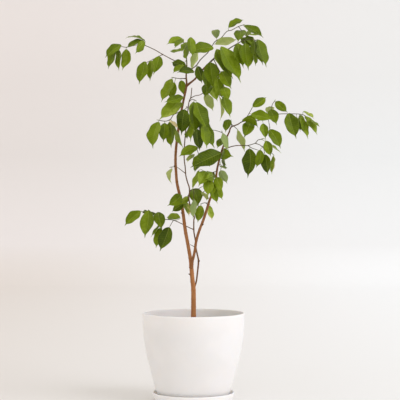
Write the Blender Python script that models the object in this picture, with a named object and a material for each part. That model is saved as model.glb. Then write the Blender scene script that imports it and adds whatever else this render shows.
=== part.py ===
"""A young weeping fig in a plain white pot that stands on its saucer.

Metres, +Z up. The origin is on the pot's axis, at the middle of the saucer's flat underside.

Stems and leaves are given as seen from the front, in millimetres: x across, z up and, for a
stem, how far back it lies. A sight line from VIEW_POINT carries each point to its depth. What
bears leaves from a seam onwards is one spray with its leaves, and all that comes before the
seams is one piece of wood.
"""

import math

import bmesh
import bpy
import numpy as np
from mathutils import Vector
from mathutils.bvhtree import BVHTree

MM = 0.001
SEAT = 0.3 * MM
VIEW_POINT = Vector((19.5, -3900.0, 601.5)) * MM

# Saucer and pot: (radius, height) down the outside, from the rim to the foot.
ROUND_SIDES = 32
SAUCER_OUTSIDE = ((123.0, 25.4), (119.0, 12.0), (112.0, 1.6))
SAUCER_BASE = 109.0
SAUCER_FLOOR = 4.0
SAUCER_CORNER = (4.0, 1.5)
POT_OUTSIDE = ((153.5, 262.0), (150.7, 211.5), (141.0, 139.5), (123.0, 67.5), (109.5, 25.0),
               (98.0, 6.5))
POT_FOOT = (95.0, 88.0)
POT_HOLLOW = 3.0
POT_CORNER = 2.0
WALL = 3.2
LIP_TURNS = (45, 90, 135)
SHARP_TURN = 35
DRAIN_HOLES = 6
DRAIN_RADIUS = 6.0
DRAIN_CIRCLE = 62.0
DRAIN_SIDES = 12
SOIL_CLEAR = 0.36
SOIL_TOP = 226.0
SOIL_MIDDLE = 231.0
SOIL_MOUND = (30.0, 1.0)
TRUNK_HOLE = 8.95

# Stems.
ROOT_DEPTH = 132.0
STEM_SIDES = 7
TWIG_SIDES = 5
LONGEST_STEP = 32.0
THIN_STEM = 6.5
DEPTH_SPREAD = 1.45
FINE = 10

# Leaves: the blade's shape, as parts of its length or of its half width.
BLADE_RATIO = 0.52
BLADE_THICK = 0.7
BLADE_ARCH = 0.09
BLADE_FOLD = 0.28
BLADE_STATIONS = (0.08, 0.3, 0.62, 0.82)
BODY_END = 0.87
BODY_LEAN = 1.05
BODY_FULL = 0.58
DRIP_TIP = 0.9
TIP_START = 0.75
PETIOLE_RADIUS = 0.9
PETIOLE_LEAST = 6.0
PETIOLE_BEND = 0.5
PETIOLE_TURNS = (150, 30, -90)
ROOT_START = 4.0
ROOT_APART = 1.5
ROOT_SHARES = (0.1, 0.3, 0.5, 0.7, 0.9)
LEAST_LENGTH = 52.0
SPARE_LENGTH = 1.04
MOST_SLIDE = 0.12

# How far a leaf may be moved back, swung back and turned over to clear its neighbours.
CLEAR_THICK = 3.4
SHIFTS = range(-32, 33, 4)
SWINGS = range(-40, 41, 8)
SHIFT_COST = 0.2
BEHIND_COST = 4.0
SWING_COST = 0.125
TURN_COST = 1.2

# Triangles from the stalk's three points to the first six of the blade, and the pairs of
# neighbours round the blade, which split its upper and its lower face alike.
STALK_TO_BLADE = ((0, 1, 4), (0, 4, 3), (1, 5, 4), (1, 6, 5), (1, 7, 6), (1, 2, 7),
                  (0, 3, 8), (0, 8, 7), (0, 7, 2))
BLADE_SPLITS = ((0, 1), (2, 1), (2, 3), (3, 4), (5, 4), (5, 0))

# Each stem is a list of (x, z, back, width).
LEFT_STEM = (
    (0, ROOT_DEPTH, 0, 17), (0, 232, 0, 17), (0, 254, 0, 15), (0, 330, 0, 14), (-3, 360, 0, 13),
    (-5.5, 390, 0, 12.5), (-8.5, 420, 1, 11.5), (-13.5, 450, 4, 10.5), (-19, 480, 6, 10.3),
    (-24.5, 510, 8, 10.2), (-28.5, 540, 10, 10), (-32.5, 570, 12, 9.5), (-40, 610, 12, 9),
    (-49, 650, 10, 8.6), (-52, 680, 8, 8.4), (-54, 720, 4, 8), (-51.5, 765, 1, 7.8),
    (-43, 830, -2, 7.2), (-36, 870, -4, 7), (-30, 900, -4, 6.6), (-21, 944, -2, 6),
    (-22, 975, 1, 4.6), (-20, 1005, 4, 4), (-22, 1035, 6, 3.4), (-27, 1065, 8, 2.8),
    (-30, 1077, 8, 2.4),
)
RIGHT_STEM = (
    (-7, 398, 0, 9), (-5, 408, -3, 8.5), (-3, 420, -6, 8), (1, 435, -10, 8), (4, 450, -12, 8),
    (8.5, 480, -14, 8), (17.5, 510, -16, 8), (29, 540, -18, 8), (39, 570, -20, 7.5),
    (48, 600, -22, 7), (55, 617, -22, 7), (65, 650, -24, 6.6), (69, 680, -26, 6.3),
    (72, 700, -28, 6), (77, 720, -30, 5.8), (85, 750, -30, 5.4), (98, 785, -32, 5),
    (107, 805, -34, 4.6), (113, 820, -36, 4), (132, 828, -34, 3.5), (148, 837, -30, 3.2),
    (170, 839, -22, 3), (196, 840, -10, 2.8), (215, 848, 0, 2.6), (235, 860, 10, 2.5),
    (252, 859, 18, 2.4),
)
THIRD_STEM = (
    (1, 328, 1, 5), (5, 345, 6, 5), (9, 360, 10, 5), (12, 385, 12, 5), (15, 418, 13, 5.4),
    (11, 440, 13, 4.6), (7, 460, 13, 4.5), (6, 478, 12, 4.4), (3, 495, 8, 4.3), (1, 510, 4, 4.2),
    (1, 540, -2, 4), (2, 552, -4, 4), (-8, 580, -8, 4), (-14, 605, -10, 4), (-12, 625, -12, 3.9),
    (-13, 640, -14, 3.8), (-18, 655, -16, 3.7), (-23, 675, -18, 3.6), (-25, 700, -18, 3.5),
    (-28, 730, -16, 3.4), (-26, 780, -14, 3.3), (-20, 840, -14, 3.2), (-14, 893, -14, 3),
    (-8, 910, -14, 2.8), (-5, 938, -14, 2.4),
)
TOP_BRANCH = (
    (-21, 944, -2, 6), (5, 965, -14, 5.5), (13, 977, -18, 5.3), (53, 1018, -34, 5),
    (71, 1033, -40, 4.6), (90, 1045, -44, 4), (112, 1059, -48, 3.4), (125, 1067, -50, 3),
    (150, 1080, -54, 2.6), (172, 1084, -58, 2.4), (188, 1080, -60, 2.2),
)

# Each spray holds its stem, the seam where the wood ends, (x, z), its side twigs as (first width,
# last width, (x, z, back), ...), and its leaves as (base x, base z, tip x, tip z, width seen).
# A leaf that shows its underside has a negative width. A sixth number bows it to one side.
# A spray with no seam grows on from the end of another spray's twig.
SPRAYS = {
    "spray_far_left": {
        "stem": (2.8, 1.9, (-22, 1003, 4), (-60, 1021, 14), (-92, 1038, 22), (-118, 1053, 30),
                 (-148, 1066, 40), (-165, 1068, 46), (-200, 1060, 58), (-224, 1064, 66)),
        "seam": (-128, 1058),
        "twigs": (),
        "leaves": (
            (-217, 1068, -266, 1029, 27, 5), (-237, 1060, -258, 994, 23),
            (-226, 1058, -226, 988, 18), (-202, 1054, -216, 990, 29, -6),
            (-146, 1079, -205, 1088, 2, 11), (-149, 1079, -203, 1058, 17, 6),
            (-148, 1077, -174, 1040, 24),
        ),
    },
    "spray_left_upper": {
        "stem": (2.2, 1.8, (-92, 1038, 22), (-110, 1030, 12), (-128, 1020, 2), (-143, 1013, -8)),
        "seam": (-97, 1035.5),
        "twigs": (),
        "leaves": (
            (-101, 1036, -121, 977, 33), (-128, 1023, -132, 958, 23), (-147, 1017, -165, 948, 33),
        ),
    },
    "spray_top": {
        "stem": LEFT_STEM,
        "seam": (-20, 1012),
        "twigs": (
            (2.0, 1.8, (-26, 1060, 8), (-17, 1074, -12), (-9, 1083, -22)),
            (2.0, 1.8, (-23, 1045, 7), (-8, 1053, 18), (8, 1049, 28)),
        ),
        "leaves": (
            (-34, 1086, -81, 1069, 21, 4), (-35, 1085, -58, 1058, 18), (-33, 1050, -72, 1050, 11),
            (-18, 1077, -36, 1047, 22), (-22, 1062, -23, 1021, 18), (-8, 1090, -2, 1030, 26),
            (13, 1060, -9, 988, -20), (-23, 1005, -67, 1016, 25), (-33, 1008, -63, 983, 18),
        ),
    },
    "spray_top_back": {
        "stem": (3.2, 2.0, (-22, 985, 2), (6, 1003, -12), (20, 1021, -6), (35, 1036, 4),
                 (44, 1045, 14), (57, 1066, 30), (66, 1078, 40), (83, 1088, 50), (100, 1107, 60),
                 (114, 1111, 64), (135, 1122, 72), (150, 1127, 78)),
        "seam": (3, 1001),
        "twigs": ((2.2, 1.8, (135, 1122, 72), (146, 1108, 80), (158, 1096, 86)),),
        "leaves": (
            (2, 986, -50, 984, 22, 7), (12, 1003, 25, 950, 26), (60, 1058, -14, 1042, 34, 9),
            (105, 1118, 152, 1143, 20, -7), (147, 1127, 211, 1089, 23, -6),
            (163, 1098, 208, 1101, 6), (155, 1094, 178, 1117, -13), (143, 1114, 132, 1075, 37),
            (62, 1068, 132, 1084, -25, -3), (69, 1087, 66, 1114, -26), (145, 1088, 178, 1060, 24),
            (160, 1094, 187, 1062, 22),
        ),
    },
    "spray_top_right": {
        "stem": TOP_BRANCH,
        "seam": (36, 1001),
        "twigs": (
            (2.8, 1.8, (60, 1025, -37), (70, 1004, -50), (80, 985, -58), (88, 960, -62),
             (88, 938, -66), (80, 918, -66)),
        ),
        "leaves": (
            (50, 1018, 62, 933, 46), (42, 1000, 42, 925, 32), (84, 988, 114, 934, 34),
            (88, 945, 107, 898, 30), (92, 915, 112, 849, 28), (77, 913, 81, 838, -5, -9),
            (84, 1062, 145, 954, 43, -3), (70, 1054, 121, 965, 40), (132, 1074, 151, 997, 38),
            (156, 1071, 166, 990, 40), (194, 1083, 221, 1000, 34), (188, 1078, 210, 1006, 30),
            (183, 1062, 188, 1003, 18), (181, 1080, 180, 1030, 20), (70, 968, 88, 905, 30),
        ),
    },
    "spray_left_middle": {
        "stem": (2.8, 2.0, (-23, 966, 0), (-35, 966, 8), (-45, 966, 14), (-62, 969, 20)),
        "seam": (-31, 966),
        "twigs": (),
        "leaves": ((-64, 967, -99, 895, 29), (-57, 954, -72, 905, 28), (-38, 966, -28, 914, 24)),
    },
    "spray_left_inner": {
        "stem": (2.6, 2.0, (-30, 903, -4), (-36, 907, -16), (-42, 907, -26), (-50, 904, -34)),
        "seam": (-34, 906),
        "twigs": (),
        "leaves": (
            (-31, 911, -88, 896, 25), (-40, 903, -104, 843, 41), (-38, 893, -45, 870, 14),
        ),
    },
    "spray_left_lower": {
        "stem": (2.8, 2.0, (-36, 870, -4), (-50, 862, -14), (-60, 857, -22), (-70, 843, -30),
                 (-85, 838, -38), (-105, 841, -44)),
        "seam": (-46, 864),
        "twigs": (),
        "leaves": (
            (-104, 841, -123, 755, 36, 8), (-86, 834, -91, 774, 31), (-70, 840, -69, 757, 30),
            (-70, 838, -32, 753, 14), (-64, 838, -49, 818, 14),
        ),
    },
    "spray_centre_top": {
        "stem": (2.4, 1.9, (-12, 898, -14), (-5, 903, -38), (-1, 903, -62), (7, 900, -80)),
        "seam": (-6, 902),
        "twigs": (),
        "leaves": ((7, 899, 45, 810, 39), (1, 897, 7, 799, 35)),
    },
    "spray_centre_upper": {
        "stem": (2.4, 1.9, (-9, 907, -14), (5, 914, -10), (22, 918, -6), (38, 932, -4),
                 (49, 950, -4)),
        "seam": (26, 921),
        "twigs": (),
        "leaves": ((44, 950, 33, 908, 32), (36, 922, 60, 868, -27), (52, 948, 73, 897, 28)),
    },
    "spray_centre_front": {
        "stem": (2.4, 1.9, (-16, 875, -14), (-20, 882, -28), (-22, 876, -40)),
        "seam": (-18, 879),
        "twigs": (),
        "leaves": ((-27, 873, -36, 795, 42),),
    },
    "spray_centre": {
        "stem": (2.8, 1.9, (-22, 822, -14), (-8, 836, -34), (6, 846, -48), (20, 850, -58),
                 (34, 848, -66)),
        "seam": (-18, 827),
        "twigs": ((2.0, 1.8, (6, 846, -48), (10, 832, -30), (14, 818, -16)),),
        "leaves": (
            (2, 860, -12, 776, 24), (26, 850, 66, 757, 38, 6), (-14, 815, -21, 784, 16),
            (10, 815, 20, 748, 31), (32, 832, 42, 755, 28),
        ),
    },
    "spray_centre_low": {
        "stem": (2.6, 1.9, (-27, 745, -16), (-10, 750, -36), (10, 756, -50), (20, 758, -54)),
        "seam": (-22, 747),
        "twigs": ((2.0, 1.8, (10, 756, -50), (16, 735, -40), (19, 716, -34)),),
        "leaves": (
            (13, 761, -45, 732, 28, 4), (-4, 738, -20, 716, 15), (12, 738, 3, 692, 22),
            (18, 712, 2, 686, 16),
        ),
    },
    "spray_right_middle": {
        "stem": (2.6, 2.0, (80, 733, -30), (80, 739, -46), (79, 745, -60)),
        "seam": (80, 735.5),
        "twigs": ((2.0, 1.8, (80, 739, -46), (68, 731, -50), (60, 724, -52)),),
        "leaves": ((84, 743, -10, 700, 48, 4), (82, 742, 119, 732, 34), (60, 722, 46, 702, 12)),
    },
    "spray_right_inner": {
        "stem": (2.2, 1.8, (73, 703, -28), (79, 708, -16), (84, 704, -8), (82, 694, -4)),
        "seam": (76.5, 707),
        "twigs": (),
        "leaves": ((86, 722, 97, 704, 14), (84, 705, 98, 695, 10), (80, 693, 102, 650, -25)),
    },
    "spray_right_upper": {
        "stem": (2.2, 1.8, (100, 790, -32), (92, 797, -42), (84, 804, -48), (70, 809, -54),
                 (54, 812, -58)),
        "seam": (96, 794),
        "twigs": (),
        "leaves": ((88, 786, 70, 757, 24), (87, 805, 104, 749, -20)),
    },
    "spray_right_fork": {
        "stem": (2.4, 1.9, (113, 820, -36), (114, 828, -46), (113, 838, -52)),
        "seam": (114, 825),
        "twigs": ((2.0, 1.8, (114, 829, -47), (122, 822, -54), (130, 815, -58)),),
        "leaves": ((104, 843, 95, 804, 25), (131, 814, 156, 746, -20)),
    },
    "spray_right_end": {
        "stem": RIGHT_STEM,
        "seam": (140, 832),
        "twigs": (
            (2.4, 1.9, (150, 838, -29), (163, 855, -40), (176, 878, -48)),
            (2.2, 1.8, (233, 859, 9), (235, 875, 2), (236, 887, -4), (243, 898, -8)),
            (2.0, 1.8, (222, 852, 4), (226, 835, -6), (229, 819, -12)),
        ),
        "leaves": (
            (176, 879, 219, 911, 26), (146, 842, 194, 815, 22, -15), (173, 842, 151, 787, 35),
            (173, 859, 238, 842, 30, -4), (230, 873, 250, 826, 32, -2), (236, 884, 217, 862, -20),
            (243, 899, 283, 864, 26), (228, 813, 262, 755, 34, -5), (209, 831, 217, 784, 25),
        ),
    },
    "spray_right_tip": {
        "stem": (2.4, 2.0, (252, 859, 18), (268, 860, 26), (300, 860, 40), (326, 858, 52),
                 (342, 850, 58)),
        "seam": None,
        "twigs": (),
        "leaves": (
            (285, 864, 309, 785, 43), (318, 861, 346, 785, 24), (332, 857, 373, 797, 20, -3),
            (331, 868, 362, 847, 10, -2), (354, 843, 379, 822, 5), (310, 850, 322, 806, 12),
            (322, 850, 333, 803, 12),
        ),
    },
    "spray_right_lower": {
        "stem": (3.2, 2.0, (84, 748, -30), (96, 755, -38), (108, 760, -46), (119, 763, -52),
                 (133, 765, -58), (155, 765, -66), (163, 765, -69), (185, 772, -78),
                 (193, 781, -84), (205, 784, -90)),
        "seam": (148, 765),
        "twigs": (
            (2.2, 1.8, (185, 772, -78), (200, 766, -86), (210, 757, -92), (213, 743, -96)),
            (2.0, 1.8, (204, 763, -88), (222, 755, -84), (238, 739, -80)),
            (2.2, 1.8, (163, 765, -69), (176, 757, -62), (191, 752, -56)),
        ),
        "leaves": (
            (212, 779, 265, 743, 2, -3), (218, 779, 232, 731, 27), (168, 757, 161, 667, 42, -3),
            (200, 752, 186, 697, 25, -5), (214, 738, 222, 676, 28), (240, 734, 233, 678, 14),
        ),
    },
    "spray_inner_left": {
        "stem": (2.2, 1.8, (-24, 681, -17), (-38, 692, 4), (-48, 699, 18), (-60, 701, 24),
                 (-67, 700, 26)),
        "seam": (-42, 695),
        "twigs": (),
        "leaves": ((-65, 701, -62, 649, -12, 12),),
    },
    "spray_inner_right": {
        "stem": (2.4, 1.9, (70, 688, -27), (60, 685, -44), (46, 679, -58), (34, 685, -66)),
        "seam": (66, 687),
        "twigs": (
            (2.0, 1.8, (60, 685, -44), (62, 674, -52), (58, 664, -58), (48, 656, -62),
             (41, 651, -64)),
        ),
        "leaves": (
            (37, 689, 15, 642, 33), (16, 690, -6, 631, 14), (62, 676, 34, 664, 28),
            (60, 662, 49, 689, 22), (68, 669, 87, 628, 28), (46, 668, 43, 611, 32),
            (55, 662, 58, 614, 24),
        ),
    },
    "spray_inner_low_right": {
        "stem": (2.4, 1.9, (62, 640, -24), (62, 646, -38), (60, 642, -48)),
        "seam": (62, 644),
        "twigs": ((2.0, 1.8, (60.5, 643, -47), (45, 636, -40), (31, 627, -34)),),
        "leaves": ((66, 642, 88, 602, 24), (63, 637, 73, 591, 24, 5), (30, 626, 42, 600, -15)),
    },
    "spray_inner_centre": {
        "stem": (2.2, 1.8, (-12, 628, -12), (0, 634, -26), (12, 634, -34), (23, 640, -38)),
        "seam": (-7, 631),
        "twigs": ((2.0, 1.8, (0, 634, -26), (1, 618, -34), (0, 605, -38)),),
        "leaves": ((3, 606, -3, 546, -20),),
    },
    "spray_inner_back": {
        "stem": (2.2, 1.8, (-13, 612, -11), (-14, 618, 2), (-12, 624, 12), (-9, 627, 20)),
        "seam": (-13.5, 615),
        "twigs": ((2.0, 1.8, (-13.5, 620, 5), (-20, 608, 9), (-22, 600, 11)),),
        "leaves": ((-2, 635, 14, 579, 41, -5), (-12, 612, -40, 588, 26), (-22, 598, -12, 553, 22)),
    },
    "spray_stem_left": {
        "stem": (2.4, 1.9, (-37, 596, 12), (-36, 602, -2), (-36, 607, -14)),
        "seam": (-36.5, 599),
        "twigs": (),
        "leaves": ((-37, 617, -79, 584, 34, -4), (-30, 592, -66, 566, 28)),
    },
    "spray_stem_right": {
        "stem": (2.4, 1.9, (43, 586, -21), (38, 592, -6), (32, 593, 8), (23, 590, 16)),
        "seam": (40.5, 589.5),
        "twigs": ((1.8, 1.8, (37, 592.5, -4), (43, 593, 6), (48, 588, 12)),),
        "leaves": ((23, 590, 12, 533, 28), (44, 590, 57, 540, 20)),
    },
    "spray_left_bottom": {
        "stem": (2.8, 2.0, (0, 513, 4), (-20, 522, 22), (-35, 530, 30), (-60, 541, 40),
                 (-80, 543, 46), (-100, 545, 52), (-125, 555, 58), (-155, 567, 66)),
        "seam": (-50, 537),
        "twigs": (
            (2.0, 1.8, (-60, 541, 40), (-66, 531, 32), (-70, 524, 27)),
            (2.0, 1.8, (-95, 544.5, 50.5), (-98, 532, 46), (-100, 522, 43)),
        ),
        "leaves": (
            (-40, 548, -82, 550, 21, 4), (-158, 569, -208, 524, 31, 4),
            (-112, 561, -156, 561, 16, 2), (-134, 571, -148, 487, 40), (-107, 565, -94, 512, 35),
            (-95, 536, -130, 490, 8), (-71, 524, -102, 447, 40), (-98, 520, -114, 457, 29),
        ),
    },
}


def seen_at(x, z, back):
    """The point, in metres, at a depth in millimetres that shows at x and z from the front."""
    flat = Vector((x, 0.0, z)) * MM
    return VIEW_POINT + (flat - VIEW_POINT) * (1.0 - back * MM / VIEW_POINT.y)


def rows_of(stem):
    """A stem's rows of x, y, z and width, in metres."""
    if isinstance(stem[0], tuple):
        rows = stem
    else:
        first, last, *points = stem
        widths = np.linspace(first, last, len(points))
        rows = [(*point, width) for point, width in zip(points, widths)]
    return np.array([(*seen_at(x, z, back * DEPTH_SPREAD), width * MM)
                     for x, z, back, width in rows])


class Curve:
    """A smooth curve through a stem's rows, read by the length along it."""

    def __init__(self, rows):
        ends = np.vstack([2 * rows[0] - rows[1], rows, 2 * rows[-1] - rows[-2]])
        fine = []
        for a, b, c, d in zip(ends, ends[1:], ends[2:], ends[3:]):
            for t in np.linspace(0, 1, FINE, endpoint=False):
                bend = (2 * a - 5 * b + 4 * c - d) * t**2 + (3 * b - a - 3 * c + d) * t**3
                fine.append(0.5 * (2 * b + (c - a) * t + bend))
        self.fine = np.array(fine + [rows[-1]])
        steps = np.linalg.norm(np.diff(self.fine[:, :3], axis=0), axis=1)
        self.along = np.concatenate([[0.0], np.cumsum(steps)])
        self.length = self.along[-1]
        self.knots = self.along[::FINE]
        slopes = np.gradient(self.fine[:, :3], self.along, axis=0)
        self.columns = [*self.fine.T, *slopes.T]

    def rows(self, start, end):
        """Rows of place, width and direction, at the given points and between far ones."""
        knots = [knot for knot in self.knots if start + MM < knot < end - MM]
        places = [start]
        for knot in (*knots, end):
            gaps = math.ceil((knot - places[-1]) / (LONGEST_STEP * MM))
            places += list(np.linspace(places[-1], knot, gaps + 1)[1:])
        return np.column_stack([np.interp(places, self.along, column) for column in self.columns])

    def place_of(self, x, z):
        """The length along the curve of the point that shows at x and z."""
        away = [(flat_place(Vector(point)) - Vector((x, z))).length for point in self.fine[:, :3]]
        return self.along[int(np.argmin(away))]


def material(name, colour, roughness):
    """A Principled material."""
    made = bpy.data.materials.new(name)
    made.use_nodes = True
    shader = made.node_tree.nodes["Principled BSDF"]
    shader.inputs["Base Color"].default_value = (*colour, 1.0)
    shader.inputs["Roughness"].default_value = roughness
    shader.inputs["Metallic"].default_value = 0.0
    return made


def solid(name, points, faces, finish=None):
    """A mesh object of these faces, all turned outwards."""
    mesh = bpy.data.meshes.new(name)
    mesh.from_pydata([tuple(point) for point in points], [], faces)
    shape = bmesh.new()
    shape.from_mesh(mesh)
    bmesh.ops.recalc_face_normals(shape, faces=shape.faces)
    shape.to_mesh(mesh)
    shape.free()
    if finish:
        mesh.materials.append(finish)
    made = bpy.data.objects.new(name, mesh)
    bpy.context.collection.objects.link(made)
    return made


def turned(name, outline, finish):
    """A solid turned about Z from an outline in millimetres that starts and ends on the axis."""
    shape = bmesh.new()
    corners = [shape.verts.new((radius * MM, 0.0, height * MM)) for radius, height in outline]
    edges = [shape.edges.new(pair) for pair in zip(corners, corners[1:])]
    bmesh.ops.spin(shape, geom=corners + edges, cent=(0, 0, 0), axis=(0, 0, 1),
                   angle=math.tau, steps=ROUND_SIDES, use_merge=True)
    bmesh.ops.remove_doubles(shape, verts=shape.verts, dist=0.01 * MM)
    bmesh.ops.recalc_face_normals(shape, faces=shape.faces)
    mesh = bpy.data.meshes.new(name)
    shape.to_mesh(mesh)
    shape.free()
    mesh.shade_smooth()
    mesh.set_sharp_from_angle(angle=math.radians(SHARP_TURN))
    mesh.materials.append(finish)
    made = bpy.data.objects.new(name, mesh)
    bpy.context.collection.objects.link(made)
    return made


def lip(radius, height):
    """The half round edge of a wall, from its outer to its inner face."""
    middle = radius - WALL / 2
    angles = [math.radians(turn) for turn in LIP_TURNS]
    return [(middle + WALL / 2 * math.cos(turn), height + WALL / 2 * math.sin(turn))
            for turn in angles]


def saucer():
    """A shallow dish that stands flat."""
    top = SAUCER_OUTSIDE[0]
    inward, upward = SAUCER_CORNER
    inside = [(radius - WALL, max(height, SAUCER_FLOOR + upward))
              for radius, height in SAUCER_OUTSIDE]
    outline = [(0, 0), (SAUCER_BASE, 0), *reversed(SAUCER_OUTSIDE), *lip(*top), *inside]
    outline += [(SAUCER_BASE - inward, SAUCER_FLOOR), (0, SAUCER_FLOOR)]
    return turned("saucer", outline, material("saucer_plastic", (0.83, 0.81, 0.78), 0.4))


def pot_floor():
    """The heights of the pot's foot and of its floor's two faces."""
    foot = SAUCER_FLOOR + SEAT / MM
    return foot, foot + POT_HOLLOW, foot + POT_HOLLOW + WALL


def pot():
    """A thin bell-shaped wall on a low foot ring, with drain holes in its floor."""
    foot, below, above = pot_floor()
    outside = list(reversed(POT_OUTSIDE))
    inside = [(radius - WALL, max(height, above + POT_CORNER)) for radius, height in POT_OUTSIDE]
    outline = [(0, below), (POT_FOOT[1] - POT_HOLLOW, below), (POT_FOOT[1], foot),
               (POT_FOOT[0], foot), *outside, *lip(*POT_OUTSIDE[0]), *inside,
               (POT_FOOT[0] - WALL, above), (0, above)]
    made = turned("pot", outline, material("pot_plastic", (0.85, 0.83, 0.80), 0.35))
    for turn in range(DRAIN_HOLES):
        angle = math.tau * turn / DRAIN_HOLES
        bpy.ops.mesh.primitive_cylinder_add(
            vertices=DRAIN_SIDES, radius=DRAIN_RADIUS * MM, depth=4 * WALL * MM,
            location=(DRAIN_CIRCLE * MM * math.cos(angle), DRAIN_CIRCLE * MM * math.sin(angle),
                      above * MM))
        cutter = bpy.context.object
        cutter.name = f"drain_cutter_{turn + 1}"
        cutter.hide_render = True
        cutter.display_type = "WIRE"
        hole = made.modifiers.new("drain", "BOOLEAN")
        hole.operation = "DIFFERENCE"
        hole.object = cutter
    return made


def soil():
    """The soil that fills the pot, with the plain hole that the trunk stands in."""
    bottom = pot_floor()[2] + SEAT / MM
    gap = WALL + SOIL_CLEAR
    wall = [(radius - gap, max(height, bottom + POT_CORNER))
            for radius, height in reversed(POT_OUTSIDE) if height < SOIL_TOP]
    top = np.interp(SOIL_TOP, [POT_OUTSIDE[1][1], POT_OUTSIDE[0][1]],
                    [POT_OUTSIDE[1][0], POT_OUTSIDE[0][0]]) - gap
    outline = [(0, bottom), (POT_FOOT[0] - gap, bottom), *wall, (top, SOIL_TOP),
               (TRUNK_HOLE + SOIL_MOUND[0], SOIL_MIDDLE - SOIL_MOUND[1]),
               (TRUNK_HOLE, SOIL_MIDDLE),
               (TRUNK_HOLE, ROOT_DEPTH - SEAT / MM), (0, ROOT_DEPTH - SEAT / MM)]
    return turned("soil", outline, material("soil_dark", (0.045, 0.03, 0.02), 0.95))


def tube(rows, sides):
    """(Points, faces) of a closed tube through rows, with a flat face at each end."""
    points = []
    faces = [tuple(range(sides))]
    side = Vector(rows[0][4:]).orthogonal()
    for row in rows:
        ahead = Vector(row[4:]).normalized()
        side = (side - ahead * side.dot(ahead)).normalized()
        other = ahead.cross(side)
        for turn in range(sides):
            angle = math.tau * turn / sides
            spoke = side * math.cos(angle) + other * math.sin(angle)
            points.append(Vector(row[:3]) + spoke * (row[3] / 2))
    for ring in range(len(rows) - 1):
        for turn in range(sides):
            a = ring * sides + turn
            b = ring * sides + (turn + 1) % sides
            faces.append((a, b, b + sides, a + sides))
    faces.append(tuple(range(len(points) - sides, len(points))))
    return points, faces


def stem_tube(rows):
    """A tube with more sides on a thick stem."""
    return tube(rows, STEM_SIDES if rows[0][3] > THIN_STEM * MM else TWIG_SIDES)


class Leaf:
    """One leaf, hung from a root on its twig so that it shows as given from the front."""

    def __init__(self, given, root, shift, swing, side):
        base_x, base_z, tip_x, tip_z, width = given[:5]
        bow = given[5] if len(given) > 5 else 0.0
        face = math.copysign(1.0, width)
        seen = Vector((tip_x - base_x, tip_z - base_z))
        back = root.y / MM
        near = (Vector((base_x, base_z)) - flat_place(root)).length
        slide = min(max(0.0, PETIOLE_LEAST - near), MOST_SLIDE * seen.length)
        base_x += seen.normalized().x * slide
        base_z += seen.normalized().y * slide
        seen_length = seen.length - slide
        length = max(SPARE_LENGTH * seen_length, abs(width) / BLADE_RATIO, LEAST_LENGTH)
        droop = -1.0 if tip_z < base_z else 1.0
        lean = droop * face * math.sqrt(length**2 - seen_length**2) + swing
        self.root = root
        self.base = seen_at(base_x, base_z, back + shift)
        self.tip = seen_at(tip_x, tip_z, back + shift + lean)
        self.length = (self.tip - self.base).length
        self.ahead = (self.tip - self.base).normalized()
        self.half = self.length * BLADE_RATIO / 2
        view = VIEW_POINT - self.base
        facing = (view - self.ahead * view.dot(self.ahead)).normalized()
        self.level = self.ahead.cross(facing)
        turn = math.acos(min(1.0, abs(width) * MM / (2 * self.half)))
        outward = Vector((self.ahead.x, self.ahead.y, 1.0))
        if self.level.dot(outward) * face < 0:
            turn = -turn
        facing = facing * math.cos(turn * side) + self.level * math.sin(turn * side)
        self.upper = facing * face
        self.across = self.ahead.cross(self.upper)
        arch = self.upper * BLADE_ARCH * self.length
        spread = arch + self.upper * BLADE_FOLD * self.half
        self.bend = arch + self.level * (bow * MM - spread.dot(self.level))

    def middle(self, t):
        """The point at t along the blade's midrib."""
        return self.base.lerp(self.tip, t) + self.bend * math.sin(math.pi * t)

    def blade_ring(self, t, thick):
        """Six points round the blade at t: three above and three below."""
        centre = self.middle(t)
        half = self.half * outline_share(t)
        edge = self.upper * BLADE_FOLD * half
        lift = self.upper * thick / 2
        left = centre - self.across * half + edge
        right = centre + self.across * half + edge
        return [left + lift, centre + lift, right + lift,
                right - lift, centre - lift, left - lift]

    def petiole_ring(self, centre, ahead):
        """Three points round the stalk: left, right and below."""
        across = (self.across - ahead * self.across.dot(ahead)).normalized()
        upper = across.cross(ahead)
        ring = []
        for turn in PETIOLE_TURNS:
            angle = math.radians(turn)
            spoke = across * math.cos(angle) + upper * math.sin(angle)
            ring.append(centre + spoke * PETIOLE_RADIUS * MM)
        return ring

    def mesh(self, thick=BLADE_THICK * MM, with_petiole=True):
        """(Points, faces) of the leaf as one closed body."""
        reach = self.base - self.root
        bend = self.base - self.ahead * reach.length * PETIOLE_BEND
        stalk = [self.petiole_ring(self.base, self.ahead)]
        if with_petiole and reach.length > 2 * PETIOLE_LEAST * MM:
            halfway = self.root * 0.25 + bend * 0.5 + self.base * 0.25
            stalk.insert(0, self.petiole_ring(halfway, reach.normalized()))
        if with_petiole:
            stalk.insert(0, self.petiole_ring(self.root, (bend - self.root).normalized()))
        blade = [self.blade_ring(t, thick) for t in BLADE_STATIONS]
        points = [point for ring in stalk + blade for point in ring] + [self.tip]
        faces = [(0, 1, 2)]
        first = 3 * (len(stalk) - 1)
        for start in range(0, first, 3):
            faces += ring_faces(start, 3, ((0, 1), (1, 2), (2, 0)))
        faces += [(first + a, first + b, first + c) for a, b, c in STALK_TO_BLADE]
        for start in range(first + 3, first + 3 + 6 * (len(blade) - 1), 6):
            faces += ring_faces(start, 6, BLADE_SPLITS)
        last = len(points) - 1
        faces += [(last - 6 + k, last - 6 + (k + 1) % 6, last) for k in range(6)]
        return points, faces


def flat_place(point):
    """Where a point shows from the front, as x and z in millimetres."""
    sight = (point - VIEW_POINT) * (VIEW_POINT.y / (VIEW_POINT.y - point.y))
    return Vector((VIEW_POINT.x + sight.x, VIEW_POINT.z + sight.z)) / MM


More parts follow.
